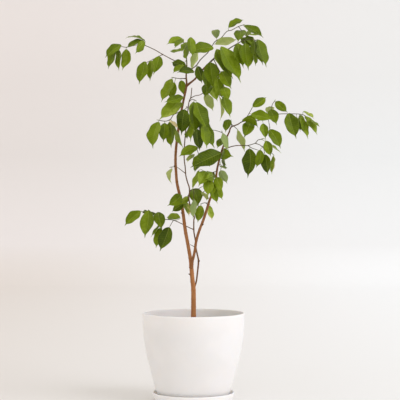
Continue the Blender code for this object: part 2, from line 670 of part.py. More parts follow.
def outline_share(t):
    """The blade's half width at t: an oval that ends in a slender drip tip."""
    along = min(t / BODY_END, 1.0) ** BODY_LEAN
    body = abs(math.sin(math.pi * along)) ** BODY_FULL
    return max(body, DRIP_TIP * (1.0 - t)) if t > TIP_START else body


def ring_faces(start, count, pairs):
    """Triangles between two rings, each pair of neighbours giving one quad and its diagonal."""
    faces = []
    for a, b in pairs:
        faces.append((start + a, start + b, start + count + b))
        faces.append((start + a, start + count + b, start + count + a))
    return faces


class Obstacle:
    """A placed piece that later leaves keep clear of."""

    def __init__(self, points, faces):
        self.low = np.min(points, axis=0)
        self.high = np.max(points, axis=0)
        self.tree = BVHTree.FromPolygons(points, faces)

    def meets(self, other):
        """Whether the two surfaces touch."""
        if (self.low > other.high).any() or (other.low > self.high).any():
            return False
        return bool(self.tree.overlap(other.tree))


def poses():
    """(Shift, swing, side) of a leaf, from the plainest to the most bent."""
    found = []
    for shift in SHIFTS:
        for swing in SWINGS:
            for side in (1, -1):
                cost = abs(shift) * SHIFT_COST + abs(swing) * SWING_COST
                cost += (TURN_COST if side < 0 else 0.0) + (BEHIND_COST if shift > 0 else 0.0)
                found.append((cost, shift, swing, side))
    return [pose[1:] for pose in sorted(found, key=lambda pose: pose[0])]


def hang_leaf(given, root, own, others):
    """The leaf in its first pose that clears all others, and with its blade its own spray."""
    fewest = None
    for shift, swing, side in poses():
        leaf = Leaf(given, root, shift, swing, side)
        whole = Obstacle(*leaf.mesh(CLEAR_THICK * MM))
        blade = Obstacle(*leaf.mesh(CLEAR_THICK * MM, with_petiole=False))
        met = sum(whole.meets(other) for other in others)
        met += sum(blade.meets(other) for other in own)
        if fewest is None or met < fewest[0]:
            fewest = (met, leaf)
        if met == 0:
            break
    if fewest[0]:
        print("crossing", given, fewest[0])
    return fewest[1]


def spray_rows(spray):
    """(Tubes of the wood's stretch, rows of each twig past the seam)."""
    curves = [Curve(rows_of(stem)) for stem in (spray["stem"], *spray["twigs"])]
    seam = curves[0].place_of(*spray["seam"]) if spray["seam"] else 0.0
    young = [curves[0].rows(seam + SEAT, curves[0].length)]
    young += [curve.rows(0.0, curve.length) for curve in curves[1:]]
    return [stem_tube(curves[0].rows(0.0, seam))] if seam else [], young


def leaf_root(given, young, used):
    """The free point on a spray's twigs, past their first stretch, that is nearest in view."""
    best = None
    for rows in young:
        for start, end in zip(rows, rows[1:]):
            for share in ROOT_SHARES:
                point = Vector(start[:3]).lerp(Vector(end[:3]), share)
                if (point - Vector(rows[0][:3])).length < ROOT_START * MM:
                    continue
                if any((point - other).length < ROOT_APART * MM for other in used):
                    continue
                away = (flat_place(point) - Vector(given[:2])).length
                if best is None or away < best[0]:
                    best = (away, point)
    return best[1]


def grow():
    """(Pieces of the wood, pieces of each spray)."""
    third = Curve(rows_of(THIRD_STEM))
    wood = [stem_tube(third.rows(0.0, third.length))]
    twigs = {}
    for name, spray in SPRAYS.items():
        old, twigs[name] = spray_rows(spray)
        wood += old
    pieces = {name: [stem_tube(rows) for rows in twigs[name]] for name in SPRAYS}
    placed = {name: [Obstacle(*piece) for piece in pieces[name]] for name in SPRAYS}
    placed["wood"] = [Obstacle(*piece) for piece in wood]
    for name, spray in SPRAYS.items():
        used = []
        for given in spray["leaves"]:
            root = leaf_root(given, twigs[name], used)
            used.append(root)
            others = [piece for key in placed if key != name for piece in placed[key]]
            leaf = hang_leaf(given, root, placed[name], others)
            pieces[name].append(leaf.mesh())
            placed[name].append(Obstacle(*leaf.mesh()))
    return wood, pieces


def joined(name, pieces, finish):
    """One body made of overlapping pieces."""
    first, *rest = pieces
    made = solid(name, *first, finish)
    helpers = bpy.data.collections.new(name + "_pieces")
    bpy.context.scene.collection.children.link(helpers)
    for number, piece in enumerate(rest):
        helper = solid(f"{name}_piece_{number}", *piece, finish)
        bpy.context.collection.objects.unlink(helper)
        helpers.objects.link(helper)
    if rest:
        union = made.modifiers.new("union", "BOOLEAN")
        union.operation = "UNION"
        union.operand_type = "COLLECTION"
        union.collection = helpers
        union.solver = "MANIFOLD"
        graph = bpy.context.evaluated_depsgraph_get()
        mesh = bpy.data.meshes.new_from_object(made.evaluated_get(graph))
        made.modifiers.clear()
        made.data = mesh
    for helper in list(helpers.objects):
        bpy.data.objects.remove(helper)
    bpy.data.collections.remove(helpers)
    return made


def main():
    for old in list(bpy.data.objects):
        bpy.data.objects.remove(old)
    saucer()
    pot()
    soil()
    wood, sprays = grow()
    joined("wood", wood, material("bark", (0.42, 0.21, 0.09), 0.7))
    leaf = material("leaf_green", (0.13, 0.24, 0.03), 0.4)
    for name, pieces in sprays.items():
        joined(name, pieces, leaf)


main()
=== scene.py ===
"""The looks of a young weeping fig in a plain white pot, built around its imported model.

The stems and leaves are given as the part gives them: as seen from the front, in millimetres,
x across, z up and, for a stem, how far back it lies. A sight line from VIEW_POINT carries each
point to its depth. Each spray of the model is replaced by a finer one with the same form.
"""

import math
import random

import bpy
import numpy as np
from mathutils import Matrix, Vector, noise
from mathutils.bvhtree import BVHTree

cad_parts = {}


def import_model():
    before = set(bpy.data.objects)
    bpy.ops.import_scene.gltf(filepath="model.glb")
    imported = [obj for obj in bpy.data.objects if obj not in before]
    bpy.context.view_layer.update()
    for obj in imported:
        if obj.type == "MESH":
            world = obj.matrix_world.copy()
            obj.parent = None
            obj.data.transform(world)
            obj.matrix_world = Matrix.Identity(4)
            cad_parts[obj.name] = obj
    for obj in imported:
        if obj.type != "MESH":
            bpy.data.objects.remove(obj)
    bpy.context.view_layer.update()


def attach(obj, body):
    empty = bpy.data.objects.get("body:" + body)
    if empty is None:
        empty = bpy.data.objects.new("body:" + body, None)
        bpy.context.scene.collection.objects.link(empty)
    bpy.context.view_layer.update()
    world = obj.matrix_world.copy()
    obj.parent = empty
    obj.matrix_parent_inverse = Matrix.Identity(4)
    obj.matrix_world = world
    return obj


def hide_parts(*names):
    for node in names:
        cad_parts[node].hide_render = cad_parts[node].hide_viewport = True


MM = 0.001
VIEW_POINT = Vector((19.5, -3900.0, 601.5)) * MM
LENS = 117.0
VIEW_END = 50.0

# Saucer and pot: (radius, height) down the outside, from the rim to the foot. The foot ring has two
# radii, and three heights: under the ring, under the floor and on the floor. All in millimetres.
ROUND_SIDES = 144
SAUCER_OUTSIDE = ((123.0, 25.4), (121.3, 18.0), (119.0, 12.0), (116.0, 6.0), (112.0, 1.6))
SAUCER_BASE = 109.0
SAUCER_FLOOR = 4.0
SAUCER_CORNER = 1.5
SAUCER_BEND = ((1.0, 0.4), (4.0, 0.0))
POT_OUTSIDE = ((153.5, 262.0), (150.7, 211.5), (147.0, 175.5), (141.0, 139.5), (131.7, 103.5),
               (123.0, 67.5), (118.0, 49.5), (109.5, 25.0), (98.0, 6.5))
POT_FOOT = (95.0, 88.0)
POT_FEET = (4.3, 7.3, 10.5)
POT_CORNER = 2.0
FOOT_SLOPE = 3.0
WALL = 3.2
SAUCER_STEPS = 3
POT_STEPS = 6
LIP_STEPS = 9
SHARP_ANGLE = 40.0
DRAIN_HOLES = 6
DRAIN_RADIUS = 6.0
DRAIN_CIRCLE = 62.0
DRAIN_SIDES = 24
SOIL_TOP = 226.0
SOIL_MIDDLE = 231.0
TRUNK_HOLE = 8.95

# How the stems and leaves of the model are laid out: the stems' sides and steps, the blade's form,
# its stalk, where a leaf may start on its twig, and how far it may move to hang clear.
ROOT_DEPTH = 132.0
STEM_SIDES = 7
TWIG_SIDES = 5
LONGEST_STEP = 32.0
THIN_STEM = 6.5
DEPTH_SPREAD = 1.45
FINE = 10
SEAT = 0.3 * MM
BLADE_RATIO = 0.52
BLADE_THICK = 0.7
BLADE_ARCH = 0.09
BLADE_FOLD = 0.28
BLADE_STATIONS = (0.08, 0.3, 0.62, 0.82)
BODY_END = 0.87
BODY_LEAN = 1.05
BODY_FULL = 0.58
DRIP_TIP = 0.9
TIP_START = 0.75
PETIOLE_RADIUS = 0.9
PETIOLE_LEAST = 6.0
PETIOLE_BEND = 0.5
PETIOLE_TURNS = (150, 30, -90)
ROOT_START = 4.0
ROOT_APART = 1.5
ROOT_SHARES = (0.1, 0.3, 0.5, 0.7, 0.9)
LEAST_LENGTH = 52.0
SPARE_LENGTH = 1.04
MOST_SLIDE = 0.12
CLEAR_THICK = 3.4
SHIFTS = range(-32, 33, 4)
SWINGS = range(-40, 41, 8)
SHIFT_COST = 0.2
BEHIND_COST = 4.0
SWING_COST = 0.125
TURN_COST = 1.2

# Triangles from the stalk's three points to the first six of the blade, and the pairs of
# neighbours round the blade, which split its upper and its lower face alike.
STALK_TO_BLADE = ((0, 1, 4), (0, 4, 3), (1, 5, 4), (1, 6, 5), (1, 7, 6), (1, 2, 7),
                  (0, 3, 8), (0, 8, 7), (0, 7, 2))
BLADE_SPLITS = ((0, 1), (2, 1), (2, 3), (3, 4), (5, 4), (5, 0))

# Each stem is a list of (x, z, back, width).
LEFT_STEM = (
    (0, ROOT_DEPTH, 0, 17), (0, 232, 0, 17), (0, 254, 0, 15), (0, 330, 0, 14), (-3, 360, 0, 13),
    (-5.5, 390, 0, 12.5), (-8.5, 420, 1, 11.5), (-13.5, 450, 4, 10.5), (-19, 480, 6, 10.3),
    (-24.5, 510, 8, 10.2), (-28.5, 540, 10, 10), (-32.5, 570, 12, 9.5), (-40, 610, 12, 9),
    (-49, 650, 10, 8.6), (-52, 680, 8, 8.4), (-54, 720, 4, 8), (-51.5, 765, 1, 7.8),
    (-43, 830, -2, 7.2), (-36, 870, -4, 7), (-30, 900, -4, 6.6), (-21, 944, -2, 6),
    (-22, 975, 1, 4.6), (-20, 1005, 4, 4), (-22, 1035, 6, 3.4), (-27, 1065, 8, 2.8),
    (-30, 1077, 8, 2.4),
)
RIGHT_STEM = (
    (-7, 398, 0, 9), (-5, 408, -3, 8.5), (-3, 420, -6, 8), (1, 435, -10, 8), (4, 450, -12, 8),
    (8.5, 480, -14, 8), (17.5, 510, -16, 8), (29, 540, -18, 8), (39, 570, -20, 7.5),
    (48, 600, -22, 7), (55, 617, -22, 7), (65, 650, -24, 6.6), (69, 680, -26, 6.3),
    (72, 700, -28, 6), (77, 720, -30, 5.8), (85, 750, -30, 5.4), (98, 785, -32, 5),
    (107, 805, -34, 4.6), (113, 820, -36, 4), (132, 828, -34, 3.5), (148, 837, -30, 3.2),
    (170, 839, -22, 3), (196, 840, -10, 2.8), (215, 848, 0, 2.6), (235, 860, 10, 2.5),
    (252, 859, 18, 2.4),
)
THIRD_STEM = (
    (1, 328, 1, 5), (5, 345, 6, 5), (9, 360, 10, 5), (12, 385, 12, 5), (15, 418, 13, 5.4),
    (11, 440, 13, 4.6), (7, 460, 13, 4.5), (6, 478, 12, 4.4), (3, 495, 8, 4.3), (1, 510, 4, 4.2),
    (1, 540, -2, 4), (2, 552, -4, 4), (-8, 580, -8, 4), (-14, 605, -10, 4), (-12, 625, -12, 3.9),
    (-13, 640, -14, 3.8), (-18, 655, -16, 3.7), (-23, 675, -18, 3.6), (-25, 700, -18, 3.5),
    (-28, 730, -16, 3.4), (-26, 780, -14, 3.3), (-20, 840, -14, 3.2), (-14, 893, -14, 3),
    (-8, 910, -14, 2.8), (-5, 938, -14, 2.4),
)
TOP_BRANCH = (
    (-21, 944, -2, 6), (5, 965, -14, 5.5), (13, 977, -18, 5.3), (53, 1018, -34, 5),
    (71, 1033, -40, 4.6), (90, 1045, -44, 4), (112, 1059, -48, 3.4), (125, 1067, -50, 3),
    (150, 1080, -54, 2.6), (172, 1084, -58, 2.4), (188, 1080, -60, 2.2),
)

# Each spray holds the seam where the wood ends, (x, z), its stem, its side twigs and its leaves.
# A stem or twig here is (first width, last width, (x, z, back), ...), unless it is named above.
# A leaf is (base x, base z, tip x, tip z, width seen). One that shows its underside has a negative
# width. A sixth number bows it to one side. A spray with no seam grows on from another's twig.
SPRAYS = {
    "spray_far_left": (
        (-128, 1058), (2.8, 1.9, (-22, 1003, 4), (-60, 1021, 14), (-92, 1038, 22), (-118, 1053, 30),
         (-148, 1066, 40), (-165, 1068, 46), (-200, 1060, 58), (-224, 1064, 66)),
        (),
        ((-217, 1068, -266, 1029, 27, 5), (-237, 1060, -258, 994, 23), (-226, 1058, -226, 988, 18),
         (-202, 1054, -216, 990, 29, -6), (-146, 1079, -205, 1088, 2, 11),
         (-149, 1079, -203, 1058, 17, 6), (-148, 1077, -174, 1040, 24))),
    "spray_left_upper": (
        (-97, 1035.5), (2.2, 1.8, (-92, 1038, 22), (-110, 1030, 12), (-128, 1020, 2),
         (-143, 1013, -8)),
        (),
        ((-101, 1036, -121, 977, 33), (-128, 1023, -132, 958, 23), (-147, 1017, -165, 948, 33))),
    "spray_top": (
        (-20, 1012), LEFT_STEM,
        ((2.0, 1.8, (-26, 1060, 8), (-17, 1074, -12), (-9, 1083, -22)),
         (2.0, 1.8, (-23, 1045, 7), (-8, 1053, 18), (8, 1049, 28))),
        ((-34, 1086, -81, 1069, 21, 4), (-35, 1085, -58, 1058, 18), (-33, 1050, -72, 1050, 11),
         (-18, 1077, -36, 1047, 22), (-22, 1062, -23, 1021, 18), (-8, 1090, -2, 1030, 26),
         (13, 1060, -9, 988, -20), (-23, 1005, -67, 1016, 25), (-33, 1008, -63, 983, 18))),
    "spray_top_back": (
        (3, 1001), (3.2, 2.0, (-22, 985, 2), (6, 1003, -12), (20, 1021, -6), (35, 1036, 4),
         (44, 1045, 14), (57, 1066, 30), (66, 1078, 40), (83, 1088, 50), (100, 1107, 60),
         (114, 1111, 64), (135, 1122, 72), (150, 1127, 78)),
        ((2.2, 1.8, (135, 1122, 72), (146, 1108, 80), (158, 1096, 86)),),
        ((2, 986, -50, 984, 22, 7), (12, 1003, 25, 950, 26), (60, 1058, -14, 1042, 34, 9),
         (105, 1118, 152, 1143, 20, -7), (147, 1127, 211, 1089, 23, -6), (163, 1098, 208, 1101, 6),
         (155, 1094, 178, 1117, -13), (143, 1114, 132, 1075, 37), (62, 1068, 132, 1084, -25, -3),
         (69, 1087, 66, 1114, -26), (145, 1088, 178, 1060, 24), (160, 1094, 187, 1062, 22))),
    "spray_top_right": (
        (36, 1001), TOP_BRANCH,
        ((2.8, 1.8, (60, 1025, -37), (70, 1004, -50), (80, 985, -58), (88, 960, -62),
          (88, 938, -66), (80, 918, -66)),),
        ((50, 1018, 62, 933, 46), (42, 1000, 42, 925, 32), (84, 988, 114, 934, 34),
         (88, 945, 107, 898, 30), (92, 915, 112, 849, 28), (77, 913, 81, 838, -5, -9),
         (84, 1062, 145, 954, 43, -3), (70, 1054, 121, 965, 40), (132, 1074, 151, 997, 38),
         (156, 1071, 166, 990, 40), (194, 1083, 221, 1000, 34), (188, 1078, 210, 1006, 30),
         (183, 1062, 188, 1003, 18), (181, 1080, 180, 1030, 20), (70, 968, 88, 905, 30))),
    "spray_left_middle": (
        (-31, 966), (2.8, 2.0, (-23, 966, 0), (-35, 966, 8), (-45, 966, 14), (-62, 969, 20)),
        (),
        ((-64, 967, -99, 895, 29), (-57, 954, -72, 905, 28), (-38, 966, -28, 914, 24))),
    "spray_left_inner": (
        (-34, 906), (2.6, 2.0, (-30, 903, -4), (-36, 907, -16), (-42, 907, -26), (-50, 904, -34)),
        (),
        ((-31, 911, -88, 896, 25), (-40, 903, -104, 843, 41), (-38, 893, -45, 870, 14))),
    "spray_left_lower": (
        (-46, 864), (2.8, 2.0, (-36, 870, -4), (-50, 862, -14), (-60, 857, -22), (-70, 843, -30),
         (-85, 838, -38), (-105, 841, -44)),
        (),
        ((-104, 841, -123, 755, 36, 8), (-86, 834, -91, 774, 31), (-70, 840, -69, 757, 30),
         (-70, 838, -32, 753, 14), (-64, 838, -49, 818, 14))),
    "spray_centre_top": (
        (-6, 902), (2.4, 1.9, (-12, 898, -14), (-5, 903, -38), (-1, 903, -62), (7, 900, -80)),
        (),
        ((7, 899, 45, 810, 39), (1, 897, 7, 799, 35))),
    "spray_centre_upper": (
        (26, 921), (2.4, 1.9, (-9, 907, -14), (5, 914, -10), (22, 918, -6), (38, 932, -4),
         (49, 950, -4)),
        (),
        ((44, 950, 33, 908, 32), (36, 922, 60, 868, -27), (52, 948, 73, 897, 28))),
    "spray_centre_front": (
        (-18, 879), (2.4, 1.9, (-16, 875, -14), (-20, 882, -28), (-22, 876, -40)),
        (),
        ((-27, 873, -36, 795, 42),)),
    "spray_centre": (
        (-18, 827), (2.8, 1.9, (-22, 822, -14), (-8, 836, -34), (6, 846, -48), (20, 850, -58),
         (34, 848, -66)),
        ((2.0, 1.8, (6, 846, -48), (10, 832, -30), (14, 818, -16)),),
        ((2, 860, -12, 776, 24), (26, 850, 66, 757, 38, 6), (-14, 815, -21, 784, 16),
         (10, 815, 20, 748, 31), (32, 832, 42, 755, 28))),
    "spray_centre_low": (
        (-22, 747), (2.6, 1.9, (-27, 745, -16), (-10, 750, -36), (10, 756, -50), (20, 758, -54)),
        ((2.0, 1.8, (10, 756, -50), (16, 735, -40), (19, 716, -34)),),
        ((13, 761, -45, 732, 28, 4), (-4, 738, -20, 716, 15), (12, 738, 3, 692, 22),
         (18, 712, 2, 686, 16))),
    "spray_right_middle": (
        (80, 735.5), (2.6, 2.0, (80, 733, -30), (80, 739, -46), (79, 745, -60)),
        ((2.0, 1.8, (80, 739, -46), (68, 731, -50), (60, 724, -52)),),
        ((84, 743, -10, 700, 48, 4), (82, 742, 119, 732, 34), (60, 722, 46, 702, 12))),
    "spray_right_inner": (
        (76.5, 707), (2.2, 1.8, (73, 703, -28), (79, 708, -16), (84, 704, -8), (82, 694, -4)),
        (),
        ((86, 722, 97, 704, 14), (84, 705, 98, 695, 10), (80, 693, 102, 650, -25))),
    "spray_right_upper": (
        (96, 794), (2.2, 1.8, (100, 790, -32), (92, 797, -42), (84, 804, -48), (70, 809, -54),
         (54, 812, -58)),
        (),
        ((88, 786, 70, 757, 24), (87, 805, 104, 749, -20))),
    "spray_right_fork": (
        (114, 825), (2.4, 1.9, (113, 820, -36), (114, 828, -46), (113, 838, -52)),
        ((2.0, 1.8, (114, 829, -47), (122, 822, -54), (130, 815, -58)),),
        ((104, 843, 95, 804, 25), (131, 814, 156, 746, -20))),
    "spray_right_end": (
        (140, 832), RIGHT_STEM,
        ((2.4, 1.9, (150, 838, -29), (163, 855, -40), (176, 878, -48)),
         (2.2, 1.8, (233, 859, 9), (235, 875, 2), (236, 887, -4), (243, 898, -8)),
         (2.0, 1.8, (222, 852, 4), (226, 835, -6), (229, 819, -12))),
        ((176, 879, 219, 911, 26), (146, 842, 194, 815, 22, -15), (173, 842, 151, 787, 35),
         (173, 859, 238, 842, 30, -4), (230, 873, 250, 826, 32, -2), (236, 884, 217, 862, -20),
         (243, 899, 283, 864, 26), (228, 813, 262, 755, 34, -5), (209, 831, 217, 784, 25))),
    "spray_right_tip": (
        None, (2.4, 2.0, (252, 859, 18), (268, 860, 26), (300, 860, 40), (326, 858, 52),
         (342, 850, 58)),
        (),
        ((285, 864, 309, 785, 43), (318, 861, 346, 785, 24), (332, 857, 373, 797, 20, -3),
         (331, 868, 362, 847, 10, -2), (354, 843, 379, 822, 5), (310, 850, 322, 806, 12),
         (322, 850, 333, 803, 12))),
    "spray_right_lower": (
        (148, 765), (3.2, 2.0, (84, 748, -30), (96, 755, -38), (108, 760, -46), (119, 763, -52),
         (133, 765, -58), (155, 765, -66), (163, 765, -69), (185, 772, -78), (193, 781, -84),
         (205, 784, -90)),
        ((2.2, 1.8, (185, 772, -78), (200, 766, -86), (210, 757, -92), (213, 743, -96)),
         (2.0, 1.8, (204, 763, -88), (222, 755, -84), (238, 739, -80)),
         (2.2, 1.8, (163, 765, -69), (176, 757, -62), (191, 752, -56))),
        ((212, 779, 265, 743, 2, -3), (218, 779, 232, 731, 27), (168, 757, 161, 667, 42, -3),
         (200, 752, 186, 697, 25, -5), (214, 738, 222, 676, 28), (240, 734, 233, 678, 14))),
    "spray_inner_left": (
        (-42, 695), (2.2, 1.8, (-24, 681, -17), (-38, 692, 4), (-48, 699, 18), (-60, 701, 24),
         (-67, 700, 26)),
        (),
        ((-65, 701, -62, 649, -12, 12),)),
    "spray_inner_right": (
        (66, 687), (2.4, 1.9, (70, 688, -27), (60, 685, -44), (46, 679, -58), (34, 685, -66)),
        ((2.0, 1.8, (60, 685, -44), (62, 674, -52), (58, 664, -58), (48, 656, -62), (41, 651, -64)),),
        ((37, 689, 15, 642, 33), (16, 690, -6, 631, 14), (62, 676, 34, 664, 28),
         (60, 662, 49, 689, 22), (68, 669, 87, 628, 28), (46, 668, 43, 611, 32),
         (55, 662, 58, 614, 24))),
    "spray_inner_low_right": (
        (62, 644), (2.4, 1.9, (62, 640, -24), (62, 646, -38), (60, 642, -48)),
        ((2.0, 1.8, (60.5, 643, -47), (45, 636, -40), (31, 627, -34)),),
        ((66, 642, 88, 602, 24), (63, 637, 73, 591, 24, 5), (30, 626, 42, 600, -15))),
    "spray_inner_centre": (
        (-7, 631), (2.2, 1.8, (-12, 628, -12), (0, 634, -26), (12, 634, -34), (23, 640, -38)),
        ((2.0, 1.8, (0, 634, -26), (1, 618, -34), (0, 605, -38)),),
        ((3, 606, -3, 546, -20),)),
    "spray_inner_back": (
        (-13.5, 615), (2.2, 1.8, (-13, 612, -11), (-14, 618, 2), (-12, 624, 12), (-9, 627, 20)),
        ((2.0, 1.8, (-13.5, 620, 5), (-20, 608, 9), (-22, 600, 11)),),
        ((-2, 635, 14, 579, 41, -5), (-12, 612, -40, 588, 26), (-22, 598, -12, 553, 22))),
    "spray_stem_left": (
        (-36.5, 599), (2.4, 1.9, (-37, 596, 12), (-36, 602, -2), (-36, 607, -14)),
        (),
        ((-37, 617, -79, 584, 34, -4), (-30, 592, -66, 566, 28))),
    "spray_stem_right": (
        (40.5, 589.5), (2.4, 1.9, (43, 586, -21), (38, 592, -6), (32, 593, 8), (23, 590, 16)),
        ((1.8, 1.8, (37, 592.5, -4), (43, 593, 6), (48, 588, 12)),),
        ((23, 590, 12, 533, 28), (44, 590, 57, 540, 20))),
    "spray_left_bottom": (
        (-50, 537), (2.8, 2.0, (0, 513, 4), (-20, 522, 22), (-35, 530, 30), (-60, 541, 40),
         (-80, 543, 46), (-100, 545, 52), (-125, 555, 58), (-155, 567, 66)),
        ((2.0, 1.8, (-60, 541, 40), (-66, 531, 32), (-70, 524, 27)),
         (2.0, 1.8, (-95, 544.5, 50.5), (-98, 532, 46), (-100, 522, 43))),
        ((-40, 548, -82, 550, 21, 4), (-158, 569, -208, 524, 31, 4), (-112, 561, -156, 561, 16, 2),
         (-134, 571, -148, 487, 40), (-107, 565, -94, 512, 35), (-95, 536, -130, 490, 8),
         (-71, 524, -102, 447, 40), (-98, 520, -114, 457, 29))),
}

# Small knots and cut ends on the wood: (from (x, z, back), to (x, z, back), widths, sawn off).
KNOTS = (
    ((-3, 374, 0), (-14.5, 380, -2), (5.0, 3.0), False),
    ((7, 459, 13), (-10, 468, 10), (2.2, 1.4), False),
    ((24, 526, -17), (29.5, 529, -21), (5.0, 3.2), False),
    ((-44, 826, -2), (-56.5, 829, -9), (5.0, 4.2), True),
    ((15, 418, 13), (18.5, 419, 11), (4.6, 3.0), False),
    ((-30, 560, 11), (-37.5, 563, 8), (4.2, 2.6), False),
    ((66, 660, -24), (71.5, 664, -27), (3.6, 2.2), False),
    ((-53, 700, 6), (-58.5, 704, 2), (3.8, 2.6), False),
)

# Leaves whose colour stands out, by the place of their base: 0 is dark and 1 is yellow green. These
# tones are partly each leaf's own colour and partly painted shade and painted light: darker for
# leaves that should show in shade, lighter for ones the lamps leave too dark.
LEAF_TONES_AND_SHADE = {
    (-217, 1068): 0.4, (-226, 1058): 0.6, (-202, 1054): 0.62, (-147, 1017): 0.4, (-146, 1079): 0.35,
    (-149, 1079): 0.25, (-148, 1077): 0.52, (-101, 1036): 0.5, (-23, 1005): 0.1, (2, 986): 0.15,
    (12, 1003): 0.1, (50, 1018): 0.4, (42, 1000): 0.35, (84, 1062): 0.5, (132, 1074): 0.42,
    (194, 1083): 0.26, (145, 1088): 0.3, (160, 1094): 0.3, (181, 1080): 0.15, (-64, 967): 0.64,
    (-57, 954): 0.6, (-40, 903): 0.74, (-104, 841): 0.56, (-86, 834): 0.35, (-64, 838): 1.2,
    (-27, 873): 0.12, (10, 815): 0.0, (7, 899): 0.3, (1, 897): 0.42, (26, 850): 0.22, (2, 860): 0.6,
    (52, 948): 0.75, (44, 950): 0.25, (-4, 738): 0.84, (12, 738): 0.78, (84, 743): 0.15,
    (82, 742): 0.5, (285, 864): 0.3, (332, 857): 0.68, (331, 868): 0.74, (318, 861): 0.62,
    (146, 842): 0.58, (173, 842): 0.42, (209, 831): 0.5, (228, 813): 0.42, (218, 779): 0.42,
    (168, 757): 0.12, (214, 738): 0.12, (240, 734): 0.85, (200, 752): 0.45, (-30, 592): 0.25,
    (-37, 617): 0.45, (-2, 635): 0.36, (-71, 524): 0.1, (-98, 520): 0.5, (-158, 569): 0.5,
    (-107, 565): 0.35, (23, 590): 0.64, (66, 642): 0.66, (68, 669): 0.66, (104, 843): 0.3,
    (-31, 911): 0.4, (-22, 598): 0.84, (44, 590): 0.84, (80, 693): 0.0, (87, 805): 0.0,
    (3, 606): 0.1, (-112, 561): 0.42, (-40, 548): 0.6, (60, 1058): 0.4, (147, 1127): 0.25,
    (143, 1114): 0.38, (-8, 1090): 0.45, (105, 1118): 0.36, (69, 1087): 0.1, (156, 1071): 0.42,
    (-12, 612): 0.74,
}
DEFAULT_TONE = (0.4, 0.66)
# Painted shade across each blade: one half lighter and the other darker by a share from this range,
# turning over this width at the midrib. Last, a random change of tone from base to tip.
PAINTED_HALF_SHADE = (0.03, 0.12)
PAINTED_HALF_SHADE_BLEND = 0.2
END_TONE = 0.1

# The places of the materials in a spray, in the wood and in the soil.
UPPER, UNDER, TWIG, STALK = range(4)
BARK, SAWN = range(2)
PEAT, GRIT = range(2)

# Fine stems: steps along them, collars at forks, rings at old leaf scars, and rough bark.
TUBE_STEP = 2.4
TRUNK_SIDES = 20
BRANCH_SIDES = 12
THIN_SIDES = 8
THIN_WIDTH = 3.0
YOUNG_WIDTH = 1.8
AGED_BY = 12.0
COLLAR = 0.55
COLLAR_REACH = 1.3
NODE_SWELL = 0.1
NODE_LENGTH = 1.3
FIRST_NODE = 12.0
LAST_NODE = 4.0
NODE_STEPS = (16, 30)
KNOBBLE = 0.03
KNOBBLE_SCALE = 260.0
RIDGE = 0.05
RIDGE_SCALE = 420.0
RIDGE_STRETCH = 0.12
BUD_OUTLINE = ((0.0, 0.9), (0.12, 1.15), (0.45, 0.95), (0.75, 0.55), (1.0, 0.1))
BUD_LENGTH = 7.0
CUT_RISE = 0.15
CUT_SHARE = 0.46

# Fine leaves: rows along the blade, columns across one half, its waves, its folds and its stalk.
LEAF_ROWS = 30
LEAF_COLUMNS = (0.0, 0.05, 0.2, 0.42, 0.64, 0.84, 1.0)
BLADE_START = 0.002
BLADE_SPAN = 0.996
EDGE_THICK = 0.25
MIDDLE_THICK = 0.5
EDGE_WAVE = 0.025
EDGE_WAVES = 2.3
RIPPLE = 0.11
RIPPLES = (1.4, 2.4)
FOLD_CURVE = 1.25
GROOVE_WIDTH = 0.07
GROOVE_DEPTH = 0.16
MIDRIB_DEPTH = 0.4
TIP_RISE = 0.85
DRIP_DROOP = 0.035
DROOP_START = 0.8
DROOP_REACH = 0.2
DROOP_CURVE = 1.6
PETIOLE_INSIDE = 3.0
PETIOLE_ROWS = 9
PETIOLE_SIDES = 8
PETIOLE_OUTLINE = ((0.0, 0.12, 0.8, 1.0), (1.05, 0.75, 0.62, 0.4))
VEINS = 13

# Soil: its mound as (radii, heights), its lumps as (level, scale, depth), and loose crumbs.
SOIL_CLEAR = 0.7
SOIL_SIDES = 96
SOIL_RINGS = 40
SOIL_LEVELS = 10
SOIL_SHOULDER = 8.0
SOIL_MOUND = ((TRUNK_HOLE, 40.0, 147.0), (SOIL_MIDDLE, SOIL_MIDDLE - 1.5, SOIL_TOP))
SOIL_LUMPS = ((3.0, 0.028, 3.0), (9.0, 0.11, 1.6), (17.0, 0.35, 0.8))
SOIL_SINK = 1.5
SOIL_SEED = 7
HOLE_SHARE = 0.6
CRUMBS = 900
PERLITE = 90
CRUMB_SIZES = (0.8, 2.8)
PERLITE_SIZES = (0.8, 1.7)
CRUMB_START = 0.012
CRUMB_CLEAR = 1.0
CRUMB_RISE = 0.2
LUMP_REACH = (0.7, 1.15)
LUMP_FLAT = 0.7
GOLD = (1 + math.sqrt(5)) / 2
LUMP_CORNERS = ((-1, GOLD, 0), (1, GOLD, 0), (-1, -GOLD, 0), (1, -GOLD, 0), (0, -1, GOLD),
                (0, 1, GOLD), (0, -1, -GOLD), (0, 1, -GOLD), (GOLD, 0, -1), (GOLD, 0, 1),
                (-GOLD, 0, -1), (-GOLD, 0, 1))
LUMP_FACES = ((0, 11, 5), (0, 5, 1), (0, 1, 7), (0, 7, 10), (0, 10, 11), (1, 5, 9), (5, 11, 4),
              (11, 10, 2), (10, 7, 6), (7, 1, 8), (3, 9, 4), (3, 4, 2), (3, 2, 6), (3, 6, 8),
              (3, 8, 9), (4, 9, 5), (2, 4, 11), (6, 2, 10), (8, 6, 7), (9, 8, 1))

